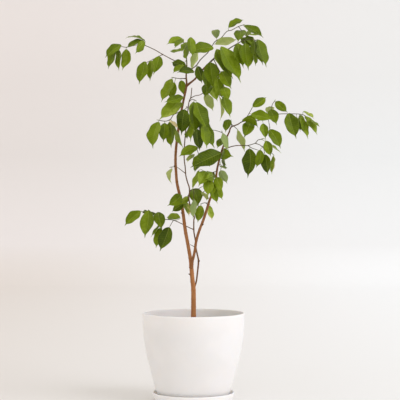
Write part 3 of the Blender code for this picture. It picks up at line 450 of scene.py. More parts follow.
# Plastic, stage and light, in metres.
SAUCER_TINT = (0.95, 0.93, 0.91)
POT_TINT = (0.92, 0.895, 0.875)
CLOUD_SHADE = 0.94
# Stage colours by height up the sweep: darker and warmer on the left as painted shade, lighter and
# cooler on the right as painted light.
STAGE_PAINTED_SHADE = ((0.0, (0.755, 0.71, 0.66)), (0.04, (0.79, 0.755, 0.73)),
              (0.4, (0.755, 0.72, 0.69)), (1.0, (0.835, 0.795, 0.77)))
STAGE_PAINTED_LIGHT = ((0.0, (0.925, 0.945, 0.945)), (0.04, (0.85, 0.865, 0.86)),
               (0.4, (0.815, 0.835, 0.83)), (1.0, (0.855, 0.86, 0.85)))
STAGE_FADE = 1.6
STAGE_SIGHT = 2.2
STAGE_FRONT = 30.0
STAGE_BACK = 6.6
STAGE_CURVE = 1.6
STAGE_WIDE = 20.0
STAGE_HEIGHT = 6.0
STAGE_STEPS = 24
SKY_COLOUR = (1.0, 0.968, 0.94)
SKY_STRENGTH = 0.885
SUN_STRENGTH = 0.9
SUN_COLOUR = (0.97, 0.98, 1.1)
SUN_SPREAD = 40.0
SUN_FROM = (0.85, -0.55, 0.65)


def seen_at(x, z, back):
    """The point, in metres, at a depth in millimetres that shows at x and z from the front."""
    flat = Vector((x, 0.0, z)) * MM
    return VIEW_POINT + (flat - VIEW_POINT) * (1.0 - back * MM / VIEW_POINT.y)


def flat_place(point):
    """Where a point shows from the front, as x and z in millimetres."""
    sight = (point - VIEW_POINT) * (VIEW_POINT.y / (VIEW_POINT.y - point.y))
    return Vector((VIEW_POINT.x + sight.x, VIEW_POINT.z + sight.z)) / MM


def rows_of(stem):
    """A stem's rows of x, y, z and width, in metres."""
    if isinstance(stem[0], tuple):
        rows = stem
    else:
        first, last, *points = stem
        widths = np.linspace(first, last, len(points))
        rows = [(*point, width) for point, width in zip(points, widths)]
    return np.array([(*seen_at(x, z, back * DEPTH_SPREAD), width * MM)
                     for x, z, back, width in rows])


def smooth(rows, steps):
    """Rows on a smooth line through the given ones, with so many steps from each to the next."""
    ends = np.vstack([2 * rows[0] - rows[1], rows, 2 * rows[-1] - rows[-2]])
    found = []
    for a, b, c, d in zip(ends, ends[1:], ends[2:], ends[3:]):
        for t in np.linspace(0, 1, steps, endpoint=False):
            bend = (2 * a - 5 * b + 4 * c - d) * t**2 + (3 * b - a - 3 * c + d) * t**3
            found.append(0.5 * (2 * b + (c - a) * t + bend))
    return np.array(found + [rows[-1]])


class Curve:
    """A smooth curve through a stem's rows, read by the length along it."""

    def __init__(self, rows):
        self.fine = smooth(rows, FINE)
        steps = np.linalg.norm(np.diff(self.fine[:, :3], axis=0), axis=1)
        self.along = np.concatenate([[0.0], np.cumsum(steps)])
        self.length = self.along[-1]
        slopes = np.gradient(self.fine[:, :3], self.along, axis=0)
        self.columns = [*self.fine.T, *slopes.T]

    def at(self, places):
        """Rows of place, width and direction at these lengths along the curve."""
        return np.column_stack([np.interp(places, self.along, column) for column in self.columns])

    def rows(self, start, end):
        """The model's rows: at the given points and between far ones."""
        knots = [knot for knot in self.along[::FINE] if start + MM < knot < end - MM]
        places = [start]
        for knot in (*knots, end):
            gaps = math.ceil((knot - places[-1]) / (LONGEST_STEP * MM))
            places += list(np.linspace(places[-1], knot, gaps + 1)[1:])
        return self.at(places)

    def place_of(self, x, z):
        """The length along the curve of the point that shows at x and z."""
        away = [(flat_place(Vector(point)) - Vector((x, z))).length for point in self.fine[:, :3]]
        return self.along[int(np.argmin(away))]

    def nearest(self, point):
        """(How far off, length along) of the curve's nearest place to a point."""
        away = np.linalg.norm(self.fine[:, :3] - np.array(point), axis=1)
        best = int(np.argmin(away))
        return away[best], self.along[best]


def circle(sides):
    """The cosine and sine of each step round a ring."""
    for turn in range(sides):
        angle = math.tau * turn / sides
        yield math.cos(angle), math.sin(angle)


def grid_faces(rows, columns, closed):
    """Quads between neighbouring rows of points, round each row where it is closed."""
    faces = []
    for row in range(rows - 1):
        for column in range(columns if closed else columns - 1):
            a = row * columns + column
            b = row * columns + (column + 1) % columns
            faces.append((a, b, b + columns, a + columns))
    return faces


def tube_faces(rows, sides):
    """The faces of a tube made of rings, with a flat one at each end."""
    last = rows * sides
    return [*grid_faces(rows, sides, True), tuple(reversed(range(sides))),
            tuple(range(last - sides, last))]


def frames(rows):
    """Each row of a stem, with two directions across it that turn as little as they can."""
    side = Vector(rows[0][4:]).orthogonal()
    for row in rows:
        ahead = Vector(row[4:]).normalized()
        side = (side - ahead * side.dot(ahead)).normalized()
        yield row, side, ahead.cross(side)


def tube(rows, sides):
    """(Points, faces) of a closed tube through rows, with a flat face at each end."""
    points = [Vector(row[:3]) + (side * cosine + other * sine) * (row[3] / 2)
              for row, side, other in frames(rows) for cosine, sine in circle(sides)]
    return points, tube_faces(len(rows), sides)


def stem_tube(rows):
    """A plain tube of the model, with more sides on a thick stem."""
    return tube(rows, STEM_SIDES if rows[0][3] > THIN_STEM * MM else TWIG_SIDES)


class Leaf:
    """One leaf, hung from a root on its twig so that it shows as given from the front."""

    def __init__(self, given, root, shift, swing, side):
        base_x, base_z, tip_x, tip_z, width = given[:5]
        bow = given[5] if len(given) > 5 else 0.0
        face = math.copysign(1.0, width)
        seen = Vector((tip_x - base_x, tip_z - base_z))
        back = root.y / MM
        near = (Vector((base_x, base_z)) - flat_place(root)).length
        slide = min(max(0.0, PETIOLE_LEAST - near), MOST_SLIDE * seen.length)
        base_x += seen.normalized().x * slide
        base_z += seen.normalized().y * slide
        seen_length = seen.length - slide
        length = max(SPARE_LENGTH * seen_length, abs(width) / BLADE_RATIO, LEAST_LENGTH)
        droop = -1.0 if tip_z < base_z else 1.0
        lean = droop * face * math.sqrt(length**2 - seen_length**2) + swing
        self.root = root
        self.base = seen_at(base_x, base_z, back + shift)
        self.tip = seen_at(tip_x, tip_z, back + shift + lean)
        self.length = (self.tip - self.base).length
        self.ahead = (self.tip - self.base).normalized()
        self.half = self.length * BLADE_RATIO / 2
        view = VIEW_POINT - self.base
        facing = (view - self.ahead * view.dot(self.ahead)).normalized()
        self.level = self.ahead.cross(facing)
        turn = math.acos(min(1.0, abs(width) * MM / (2 * self.half)))
        outward = Vector((self.ahead.x, self.ahead.y, 1.0))
        if self.level.dot(outward) * face < 0:
            turn = -turn
        facing = facing * math.cos(turn * side) + self.level * math.sin(turn * side)
        self.upper = facing * face
        self.across = self.ahead.cross(self.upper)
        arch = self.upper * BLADE_ARCH * self.length
        spread = arch + self.upper * BLADE_FOLD * self.half
        self.bend = arch + self.level * (bow * MM - spread.dot(self.level))

    def middle(self, t):
        """The point at t along the blade's midrib."""
        return self.base.lerp(self.tip, t) + self.bend * math.sin(math.pi * t)

    def blade_ring(self, t, thick):
        """Six points round the blade at t: three above and three below."""
        centre = self.middle(t)
        half = self.half * outline_share(t)
        edge = self.upper * BLADE_FOLD * half
        lift = self.upper * thick / 2
        left = centre - self.across * half + edge
        right = centre + self.across * half + edge
        return [left + lift, centre + lift, right + lift,
                right - lift, centre - lift, left - lift]

    def petiole_ring(self, centre, ahead):
        """Three points round the stalk: left, right and below."""
        across = (self.across - ahead * self.across.dot(ahead)).normalized()
        upper = across.cross(ahead)
        ring = []
        for turn in PETIOLE_TURNS:
            angle = math.radians(turn)
            spoke = across * math.cos(angle) + upper * math.sin(angle)
            ring.append(centre + spoke * PETIOLE_RADIUS * MM)
        return ring

    def mesh(self, thick=BLADE_THICK * MM, with_petiole=True):
        """(Points, faces) of the leaf as one closed body."""
        reach = self.base - self.root
        bend = self.base - self.ahead * reach.length * PETIOLE_BEND
        stalk = [self.petiole_ring(self.base, self.ahead)]
        if with_petiole and reach.length > 2 * PETIOLE_LEAST * MM:
            halfway = self.root * 0.25 + bend * 0.5 + self.base * 0.25
            stalk.insert(0, self.petiole_ring(halfway, reach.normalized()))
        if with_petiole:
            stalk.insert(0, self.petiole_ring(self.root, (bend - self.root).normalized()))
        blade = [self.blade_ring(t, thick) for t in BLADE_STATIONS]
        points = [point for ring in stalk + blade for point in ring] + [self.tip]
        faces = [(0, 1, 2)]
        first = 3 * (len(stalk) - 1)
        for start in range(0, first, 3):
            faces += ring_faces(start, 3, ((0, 1), (1, 2), (2, 0)))
        faces += [(first + a, first + b, first + c) for a, b, c in STALK_TO_BLADE]
        for start in range(first + 3, first + 3 + 6 * (len(blade) - 1), 6):
            faces += ring_faces(start, 6, BLADE_SPLITS)
        last = len(points) - 1
        faces += [(last - 6 + k, last - 6 + (k + 1) % 6, last) for k in range(6)]
        return points, faces


def outline_share(t):
    """The blade's half width at t: an oval that ends in a slender drip tip."""
    along = min(t / BODY_END, 1.0) ** BODY_LEAN
    body = abs(math.sin(math.pi * along)) ** BODY_FULL
    return max(body, DRIP_TIP * (1.0 - t)) if t > TIP_START else body


def ring_faces(start, count, pairs):
    """Triangles between two rings, each pair of neighbours giving one quad and its diagonal."""
    faces = []
    for a, b in pairs:
        faces.append((start + a, start + b, start + count + b))
        faces.append((start + a, start + count + b, start + count + a))
    return faces


class Obstacle:
    """A placed piece that later leaves keep clear of."""

    def __init__(self, points, faces):
        self.low = np.min(points, axis=0)
        self.high = np.max(points, axis=0)
        self.tree = BVHTree.FromPolygons(points, faces)

    def meets(self, other):
        """Whether the two surfaces touch."""
        if (self.low > other.high).any() or (other.low > self.high).any():
            return False
        return bool(self.tree.overlap(other.tree))


def poses():
    """(Shift, swing, side) of a leaf, from the plainest to the most bent."""
    found = []
    for shift in SHIFTS:
        for swing in SWINGS:
            for side in (1, -1):
                cost = abs(shift) * SHIFT_COST + abs(swing) * SWING_COST
                cost += (TURN_COST if side < 0 else 0.0) + (BEHIND_COST if shift > 0 else 0.0)
                found.append((cost, shift, swing, side))
    return [pose[1:] for pose in sorted(found, key=lambda pose: pose[0])]


def hang_leaf(given, root, own, others):
    """The leaf in its first pose that clears all others, and with its blade its own spray."""
    best = None
    for pose in poses():
        leaf = Leaf(given, root, *pose)
        whole = Obstacle(*leaf.mesh(CLEAR_THICK * MM))
        blade = Obstacle(*leaf.mesh(CLEAR_THICK * MM, with_petiole=False))
        met = sum(whole.meets(other) for other in others)
        met += sum(blade.meets(other) for other in own)
        if best is None or met < best[0]:
            best = (met, leaf)
        if met == 0:
            break
    return best[1]


def leaf_root(given, young, used):
    """The free point on a spray's twigs, past their first stretch, that is nearest in view."""
    best = None
    for rows in young:
        for start, end in zip(rows, rows[1:]):
            for share in ROOT_SHARES:
                point = Vector(start[:3]).lerp(Vector(end[:3]), share)
                if (point - Vector(rows[0][:3])).length < ROOT_START * MM:
                    continue
                if any((point - other).length < ROOT_APART * MM for other in used):
                    continue
                away = (flat_place(point) - Vector(given[:2])).length
                if best is None or away < best[0]:
                    best = (away, point)
    return best[1]


def lay_out():
    """(Stretches of wood, young stretches of each spray, leaves of each spray)."""
    third = Curve(rows_of(THIRD_STEM))
    wood = [(third, 0.0, third.length)]
    young, rows, leaves = {}, {}, {}
    for name, (seam, stem, twigs, _) in SPRAYS.items():
        main, *others = [Curve(rows_of(line)) for line in (stem, *twigs)]
        along = main.place_of(*seam) if seam else 0.0
        if along:
            wood.append((main, 0.0, along))
        young[name] = [(main, along, main.length), *((twig, 0.0, twig.length) for twig in others)]
        rows[name] = [curve.rows(start + (0.0 if number else SEAT), end)
                      for number, (curve, start, end) in enumerate(young[name])]
    placed = {name: [Obstacle(*stem_tube(line)) for line in rows[name]] for name in SPRAYS}
    placed["wood"] = [Obstacle(*stem_tube(curve.rows(start, end))) for curve, start, end in wood]
    for name, (*_, wanted) in SPRAYS.items():
        used, leaves[name] = [], []
        for given in wanted:
            used.append(leaf_root(given, rows[name], used))
            others = [piece for key in placed if key != name for piece in placed[key]]
            leaf = hang_leaf(given, used[-1], placed[name], others)
            leaves[name].append((given, leaf))
            placed[name].append(Obstacle(*leaf.mesh()))
    return wood, young, leaves


class Shape:
    """A mesh gathered from patches, with the values that its materials read."""

    def __init__(self):
        self.points, self.faces, self.finish = [], [], []
        self.place, self.tone = [], []
        self.count = 0

    def add(self, points, faces, finish, place, tone):
        """Adds a patch: its points, its faces, its material's number and its point values."""
        points = np.asarray(points, float).reshape(-1, 3)
        self.points.append(points)
        self.faces += [tuple(corner + self.count for corner in face) for face in faces]
        self.finish += [finish] * len(faces)
        self.place.append(np.broadcast_to(np.asarray(place, float), points.shape))
        self.tone.append(np.broadcast_to(np.asarray(tone, float), len(points)))
        self.count += len(points)

    def build(self, name, materials, replaced):
        """The finished piece, which stands for a node of the model."""
        mesh = new_mesh(name, np.concatenate(self.points).tolist(), self.faces, materials)
        mesh.polygons.foreach_set("material_index", self.finish)
        place = mesh.attributes.new("place", "FLOAT_VECTOR", "POINT")
        place.data.foreach_set("vector", np.concatenate(self.place).astype(np.float32).ravel())
        tone = mesh.attributes.new("tone", "FLOAT", "POINT")
        tone.data.foreach_set("value", np.concatenate(self.tone).astype(np.float32))
        mesh.shade_smooth()
        mesh.validate()
        return dress(name, mesh, replaced)


def stand(name, data):
    """A new object in the scene."""
    made = bpy.data.objects.new(name, data)
    bpy.context.scene.collection.objects.link(made)
    return made


def new_mesh(name, points, faces, materials=()):
    """A mesh with its materials."""
    mesh = bpy.data.meshes.new(name)
    mesh.from_pydata(points, [], faces)
    for finish in materials:
        mesh.materials.append(finish)
    return mesh


def dress(name, mesh, replaced):
    """An object that rides on the model in place of a node."""
    made = stand(name, mesh)
    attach(made, "root")
    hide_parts(replaced)
    return made


def age_of(width):
    """How old a stem looks from its width in metres: 0 young, 1 the trunk."""
    return np.clip((width / MM - YOUNG_WIDTH) / AGED_BY, 0.0, 1.0)


def stem_patch(shape, curve, start, end, finish, collar=True, nodes=()):
    """Adds a round stem with a collar where it leaves its parent, and a ring at each node."""
    width = curve.at([start])[0][3]
    sides = BRANCH_SIDES if width > THIN_WIDTH * MM else THIN_SIDES
    sides = TRUNK_SIDES if width > THIN_STEM * MM else sides
    count = max(3, math.ceil((end - start) / (TUBE_STEP * MM)) + 1)
    places = np.linspace(start, end, count)
    nodes = nodes or node_places(curve, start, end)
    points, place, tone = [], [], []
    for (row, side, other), along in zip(frames(curve.at(places)), places):
        radius = row[3] / 2
        swell = 1.0
        if collar:
            swell += COLLAR * math.exp(-(along - start) / (COLLAR_REACH * width))
        swell += sum(NODE_SWELL * math.exp(-((along - node) / (NODE_LENGTH * MM)) ** 2)
                     for node in nodes)
        for cosine, sine in circle(sides):
            grain = Vector((radius * cosine, radius * sine, along))
            rough = noise.noise(grain * KNOBBLE_SCALE) * KNOBBLE
            stretched = Vector((grain.x, grain.y, grain.z * RIDGE_STRETCH))
            rough += noise.noise(stretched * RIDGE_SCALE) * RIDGE
            points.append(Vector(row[:3]) + (side * cosine + other * sine) * radius * (swell + rough))
            place.append(grain)
            tone.append(float(age_of(row[3])))
    shape.add(points, tube_faces(count, sides), finish, place, tone)


def node_places(curve, start, end):
    """Where the rings of old leaf scars lie along a stem."""
    chance = random.Random(round(curve.length / MM * 10))
    places = []
    along = start + FIRST_NODE * MM
    while along < end - LAST_NODE * MM:
        places.append(along)
        along += chance.uniform(*NODE_STEPS) * MM
    return places


def end_of(curve):
    """(Point, direction, two directions across, width) at a curve's end."""
    row = curve.at([curve.length])[0]
    ahead = Vector(row[4:]).normalized()
    side = ahead.orthogonal().normalized()
    return Vector(row[:3]), ahead, side, ahead.cross(side), row[3]


def bud_patch(shape, curve, finish):
    """Adds the pointed sheath that ends a young twig."""
    tip, ahead, side, other, width = end_of(curve)
    points = []
    for share, thick in BUD_OUTLINE:
        centre = tip + ahead * (share * BUD_LENGTH * MM)
        points += [centre + (side * cosine + other * sine) * (width / 2 * thick)
                   for cosine, sine in circle(THIN_SIDES)]
    faces = grid_faces(len(BUD_OUTLINE), THIN_SIDES, True)
    faces.append(tuple(range(len(points) - THIN_SIDES, len(points))))
    shape.add(points, faces, finish, (0, 0, curve.length), 0.0)


def fine_outline(t):
    """The blade's half width at t, with a smooth start to its drip tip."""
    along = np.clip(t / BODY_END, 0.0, 1.0) ** BODY_LEAN
    body = np.abs(np.sin(math.pi * along)) ** BODY_FULL
    tip = DRIP_TIP * (1.0 - t) * np.clip(t / TIP_RISE, 0.0, 1.0) ** 4
    return (body ** 3 + tip ** 3) ** (1 / 3)


def blade_patch(shape, leaf, tone, chance):
    """Adds a leaf blade: an upper and a lower face that meet in a thin wavy edge, its halves one
    lighter and one darker as painted shade.
    """
    turns = np.linspace(0.0, math.pi, LEAF_ROWS)
    t = (BLADE_START + BLADE_SPAN * (0.5 - 0.5 * np.cos(turns)))[:, None]
    columns = np.array([-s for s in reversed(LEAF_COLUMNS[1:])] + list(LEAF_COLUMNS))
    s = columns[None, :]
    half = leaf.half * fine_outline(t)
    half = half * (1.0 + EDGE_WAVE * np.sin(math.tau * (EDGE_WAVES * t + chance.random())))
    side = np.where(s < 0, chance.random(), chance.random())
    ripples = chance.uniform(*RIPPLES)
    lift = BLADE_FOLD * half * np.abs(s) ** FOLD_CURVE
    lift = lift + RIPPLE * half * s**2 * np.sin(math.tau * (ripples * t + side))
    droop = np.clip((t - DROOP_START) / DROOP_REACH, 0.0, 1.0) ** DROOP_CURVE
    lift = lift - DRIP_DROOP * leaf.length * droop
    groove = np.exp(-((s / GROOVE_WIDTH) ** 2))
    thick = (EDGE_THICK + (MIDDLE_THICK - EDGE_THICK) * (1.0 - s**2)) * MM / 2
    base, ahead = np.array(leaf.base), np.array(leaf.tip - leaf.base)
    upper, across, bend = np.array(leaf.upper), np.array(leaf.across), np.array(leaf.bend)
    middle = base + ahead * t[..., None] + bend * np.sin(math.pi * t)[..., None]
    sheet = middle + across * (half * s)[..., None] + upper * lift[..., None]
    top = sheet + upper * (thick - GROOVE_DEPTH * MM * groove)[..., None]
    bottom = sheet - upper * (thick + MIDRIB_DEPTH * MM * groove * (1.0 - t))[..., None]
    place = np.stack([s + 0 * t, t + 0 * s, half * s / MM], axis=-1).reshape(-1, 3)
    # Painted shade: one half of the blade lighter and the other darker, as if the halves met the
    # light differently.
    tones_with_painted_shade = tone + chance.uniform(*PAINTED_HALF_SHADE) * chance.choice((-1, 1)) * np.tanh(s / PAINTED_HALF_SHADE_BLEND)
    tones_with_painted_shade = (tones_with_painted_shade + chance.uniform(-END_TONE, END_TONE) * (2.0 * t - 1.0)).ravel()
    faces = grid_faces(LEAF_ROWS, len(columns), False)
    shape.add(top.reshape(-1, 3), [face[::-1] for face in faces], UPPER, place, tones_with_painted_shade)
    shape.add(bottom.reshape(-1, 3), faces, UNDER, place, tones_with_painted_shade)
    rim_faces(shape, LEAF_ROWS, len(columns))


def rim_faces(shape, rows, columns):
    """Joins the last two grids of a shape, which lie face to face, along their edges."""
    lower = shape.count - rows * columns
    upper = lower - rows * columns
    ring = list(range(columns)) + [row * columns + columns - 1 for row in range(1, rows)]
    ring += [(rows - 1) * columns + column for column in range(columns - 2, -1, -1)]
    ring += [row * columns for row in range(rows - 2, 0, -1)]
    for a, b in zip(ring, ring[1:] + ring[:1]):
        shape.faces.append((upper + a, upper + b, lower + b, lower + a))
        shape.finish.append(UPPER)


def petiole_patch(shape, leaf, root, finish, tone):
    """Adds the leaf stalk, bent from its twig into the line of the midrib."""
    reach = (leaf.base - root).length
    bend = leaf.base - leaf.ahead * reach * PETIOLE_BEND
    inside = leaf.base + leaf.ahead * (PETIOLE_INSIDE * MM)
    points, place = [], []
    for number in range(PETIOLE_ROWS):
        t = number / (PETIOLE_ROWS - 1)
        centre = root * (1 - t) ** 2 + bend * 2 * t * (1 - t) + inside * t**2
        ahead = ((bend - root) * (1 - t) + (inside - bend) * t).normalized()
        across = (leaf.across - ahead * leaf.across.dot(ahead)).normalized()
        other = ahead.cross(across)
        radius = np.interp(t, *PETIOLE_OUTLINE) * MM
        for cosine, sine in circle(PETIOLE_SIDES):
            points.append(centre + (across * cosine + other * sine) * radius)
            place.append((radius * cosine, radius * sine, t * reach))
    shape.add(points, tube_faces(PETIOLE_ROWS, PETIOLE_SIDES), finish, place, tone)


def grow_spray(name, stretches, leaves, materials):
    """A fine spray: its young twigs, their buds, and its leaves."""
    chance = random.Random(name)
    shape = Shape()
    roots = [[] for _ in stretches]
    for given, leaf in leaves:
        near = [curve.nearest(leaf.root) for curve, _, _ in stretches]
        number = min(range(len(near)), key=lambda k: near[k][0])
        along = near[number][1]
        roots[number].append(along)
        root = Vector(stretches[number][0].at([along])[0][:3])
        # The tone mixes the leaf's own colour with painted shade and painted light.
        tone = LEAF_TONES_AND_SHADE.get(given[:2], chance.uniform(*DEFAULT_TONE))
        blade_patch(shape, leaf, tone, chance)
        petiole_patch(shape, leaf, root, STALK, tone)
    for number, (curve, start, end) in enumerate(stretches):
        stem_patch(shape, curve, start, end, TWIG, number > 0, roots[number])
        bud_patch(shape, curve, STALK)
    return shape.build("fine_" + name, materials, name)


def grow_wood(stretches, materials):
    """The trunk, the stems and the bare branches, with their small knots and cut ends."""
    shape = Shape()
    for number, (curve, start, end) in enumerate(stretches):
        stem_patch(shape, curve, start, end, BARK, number > 0)
    for first, last, widths, sawn in KNOTS:
        curve = Curve(rows_of(((*first, widths[0]), (*last, widths[1]))))
        stem_patch(shape, curve, 0.0, curve.length, BARK)
        if sawn:
            cut_patch(shape, curve)
    return shape.build("fine_wood", materials, "wood")


def cut_patch(shape, curve):
    """Adds the pale face of a sawn branch."""
    tip, ahead, side, other, width = end_of(curve)
    centre = tip + ahead * CUT_RISE * MM
    points = [centre]
    points += [centre + (side * cosine + other * sine) * width * CUT_SHARE
               for cosine, sine in circle(BRANCH_SIDES)]
    faces = [(0, 1 + turn, 1 + (turn + 1) % BRANCH_SIDES) for turn in range(BRANCH_SIDES)]
    shape.add(points, faces, SAWN, (0, 0, 0), 0.0)


def turned(name, outline, finish, replaced):
    """A piece turned about Z from an outline in millimetres that starts and ends on the axis."""
    points = [(0.0, 0.0, outline[0][1] * MM), (0.0, 0.0, outline[-1][1] * MM)]
    rings = outline[1:-1]
    points += [(radius * MM * cosine, radius * MM * sine, height * MM)
               for radius, height in rings for cosine, sine in circle(ROUND_SIDES)]
    faces = [tuple(corner + 2 for corner in face)
             for face in grid_faces(len(rings), ROUND_SIDES, True)]
    last = 2 + (len(rings) - 1) * ROUND_SIDES
    for turn in range(ROUND_SIDES):
        after = (turn + 1) % ROUND_SIDES
        faces += [(0, 2 + after, 2 + turn), (1, last + turn, last + after)]
    mesh = new_mesh(name, points, faces, (finish,))
    mesh.shade_smooth()
    mesh.set_sharp_from_angle(angle=math.radians(SHARP_ANGLE))
    return dress(name, mesh, replaced)


def lip(radius, height):
    """The half round edge of a wall, from its outer to its inner face."""
    middle = radius - WALL / 2
    turns = np.linspace(0.0, math.pi, LIP_STEPS)[1:-1]
    return [(middle + WALL / 2 * math.cos(turn), height + WALL / 2 * math.sin(turn))
            for turn in turns]


def make_saucer(finish):
    """A shallow dish that stands flat."""
    outside = smooth(np.array(SAUCER_OUTSIDE), SAUCER_STEPS)
    inside = [(radius - WALL, height) for radius, height in outside
              if height > SAUCER_FLOOR + SAUCER_CORNER]
    outline = [(0, 0), (SAUCER_BASE, 0), *outside[::-1], *lip(*SAUCER_OUTSIDE[0]), *inside]
    outline += [(SAUCER_BASE - inward, SAUCER_FLOOR + up) for inward, up in SAUCER_BEND]
    turned("fine_saucer", [*outline, (0, SAUCER_FLOOR)], finish, "saucer")


def make_pot(finish):
    """A thin bell-shaped wall on a low foot ring, with drain holes in its floor."""
    foot, below, above = POT_FEET
    outside = smooth(np.array(POT_OUTSIDE), POT_STEPS)
    inside = [(radius - WALL, height) for radius, height in outside
              if height > above + POT_CORNER]
    outline = [(0, below), (POT_FOOT[1] - FOOT_SLOPE, below), (POT_FOOT[1], foot),
               (POT_FOOT[0], foot), *outside[::-1], *lip(*POT_OUTSIDE[0]), *inside,
               (POT_FOOT[0] - WALL, above), (0, above)]
    made = turned("fine_pot", outline, finish, "pot")
    ring = DRAIN_CIRCLE * MM
    cutters = [drain_cutter(Vector((ring * cosine, ring * sine, above * MM)))
               for cosine, sine in circle(DRAIN_HOLES)]
    for cutter in cutters:
        hole = made.modifiers.new("drain", "BOOLEAN")
        hole.operation = "DIFFERENCE"
        hole.object = cutter
    graph = bpy.context.evaluated_depsgraph_get()
    drilled = bpy.data.meshes.new_from_object(made.evaluated_get(graph))
    made.modifiers.clear()
    made.data = drilled
    for cutter in cutters:
        bpy.data.objects.remove(cutter)


def drain_cutter(place):
    """A helper rod where a drain hole goes."""
    reach, width = 2 * WALL * MM, 2 * DRAIN_RADIUS * MM
    rod = np.array([(0, 0, -reach, width, 0, 0, 1), (0, 0, reach, width, 0, 0, 1)])
    points, faces = tube(rod, DRAIN_SIDES)
    return stand("drain_cutter", new_mesh("drain_cutter", [point + place for point in points], faces))


def soil_radius(height):
    """The soil's radius against the pot's inner wall at a height in millimetres."""
    radii, heights = zip(*reversed(POT_OUTSIDE))
    return np.interp(height, heights, radii) - WALL - SOIL_CLEAR


def soil_height(x, y):
    """The height of the lumpy soil at x and y, all in millimetres."""
    rough = sum(noise.noise(Vector((x, y, level)) * scale) * depth
                for level, scale, depth in SOIL_LUMPS)
    return np.interp(math.hypot(x, y), *SOIL_MOUND) + rough - SOIL_SINK


def make_soil(finish, grit):
    """Potting soil with a crumbly top, loose crumbs and a few pale grains."""
    chance = random.Random(SOIL_SEED)
    shape = Shape()
    points = []
    for height in np.linspace(POT_FEET[2] + SEAT / MM, SOIL_TOP - SOIL_SHOULDER, SOIL_LEVELS):
        edge = soil_radius(height)
        points += [(edge * cosine, edge * sine, height) for cosine, sine in circle(SOIL_SIDES)]
    edge = soil_radius(SOIL_TOP)
    for radius in np.linspace(edge, TRUNK_HOLE * HOLE_SHARE, SOIL_RINGS):
        for cosine, sine in circle(SOIL_SIDES):
            x, y = radius * cosine, radius * sine
            points.append((x, y, soil_height(x, y)))
    faces = tube_faces(len(points) // SOIL_SIDES, SOIL_SIDES)
    shape.add(np.array(points) * MM, faces, PEAT, (0, 0, 0), 0.5)
    for number in range(CRUMBS + PERLITE):
        pale = number >= CRUMBS
        size = chance.uniform(*(PERLITE_SIZES if pale else CRUMB_SIZES))
        radius = math.sqrt(chance.uniform(CRUMB_START, 1.0)) * (edge - size - CRUMB_CLEAR)
        angle = chance.uniform(0.0, math.tau)
        x, y = radius * math.cos(angle), radius * math.sin(angle)
        centre = Vector((x, y, soil_height(x, y) + size * CRUMB_RISE))
        lump_patch(shape, centre, size, chance, GRIT if pale else PEAT, chance.random())
    shape.build("fine_soil", (finish, grit), "soil")


def lump_patch(shape, centre, size, chance, finish, tone):
    """Adds one crumb: a small squashed lump with an uneven surface."""
    points = []
    for corner in LUMP_CORNERS:
        reach = Vector(corner).normalized() * size * chance.uniform(*LUMP_REACH)
        points.append((centre + Vector((reach.x, reach.y, reach.z * LUMP_FLAT))) * MM)
    shape.add(points, LUMP_FACES, finish, (0, 0, 0), tone)


class Graph:
    """A node material, with short calls for the nodes that these materials use."""

    def __init__(self, name, **settings):
        self.material = bpy.data.materials.new(name)
        self.material.use_nodes = True
        self.tree = self.material.node_tree
        self.shader = self.tree.nodes["Principled BSDF"]
        for socket, value in settings.items():
            self.shader.inputs[socket.replace("_", " ")].default_value = value

    def link(self, value, socket):
        """Sets a socket to a number or colour, or joins another node's output to it."""
        if isinstance(value, bpy.types.NodeSocket):
            self.tree.links.new(value, socket)
        elif isinstance(value, tuple) and len(value) == 3 and socket.type == "RGBA":
            socket.default_value = (*value, 1.0)
        else:
            socket.default_value = value

    def node(self, kind, inputs, output=0, **settings):
        """An output of a new node with these inputs and settings."""
        made = self.tree.nodes.new("ShaderNode" + kind)
        for name, value in settings.items():
            setattr(made, name, value)
        for socket, value in dict(inputs).items():
            self.link(value, made.inputs[socket])
        return made.outputs[output]

    def read(self, name, output):
        """A value that the mesh holds."""
        return self.node("Attribute", (), output, attribute_name=name)

    def place(self):
        """The point in the piece's own space."""
        return self.node("TexCoord", (), "Object")

    def split(self, vector):
        """A vector's three parts."""
        return self.node("SeparateXYZ", {0: vector}).node.outputs

    def sum(self, operation, first, second=0.0):
        """One step of arithmetic."""
        return self.node("Math", {0: first, 1: second}, operation=operation)

    def stretch(self, vector, scale):
        """A vector multiplied part by part."""
        return self.node("VectorMath", {0: vector, 1: scale}, operation="MULTIPLY")

    def noise(self, vector, scale, detail=3.0, rough=0.5):
        """Soft noise from 0 to 1."""
        given = {"Vector": vector, "Scale": scale, "Detail": detail, "Roughness": rough}
        return self.node("TexNoise", given)

    def spots(self, vector, scale):
        """The distance to the nearest of many scattered points."""
        return self.node("TexVoronoi", {"Vector": vector, "Scale": scale}, "Distance")

    def between(self, value, low, high, first=0.0, last=1.0):
        """A value's share of the way from low to high, as a number from first to last."""
        given = enumerate((value, low, high, first, last))
        return self.node("MapRange", given, interpolation_type="SMOOTHSTEP")

    def ramp(self, value, *stops):
        """A colour read from stops of (place, colour)."""
        read = self.node("ValToRGB", {0: value})
        elements = read.node.color_ramp.elements
        while len(elements) < len(stops):
            elements.new(1.0)
        for element, (place, colour) in zip(elements, stops):
            element.position = place
            element.color = (*colour, 1.0)
        return read

    def mix(self, share, first, second):
        """Two colours mixed by a share."""
        return self.node("Mix", {0: share, 6: first, 7: second}, 2, data_type="RGBA")

    def blend(self, share, most, first, second):
        """Two colours mixed by a share that is scaled down."""
        return self.mix(self.sum("MULTIPLY", share, most), first, second)

    def bump(self, height, depth, strength=1.0):
        """Relief of a depth in millimetres."""
        given = {"Strength": strength, "Distance": depth * MM, "Height": height}
        self.link(self.node("Bump", given), self.shader.inputs["Normal"])

    def finish(self, colour, roughness):
        """Joins a colour and a roughness to the shader."""
        self.link(colour, self.shader.inputs["Base Color"])
        self.link(roughness, self.shader.inputs["Roughness"])
        return self.material


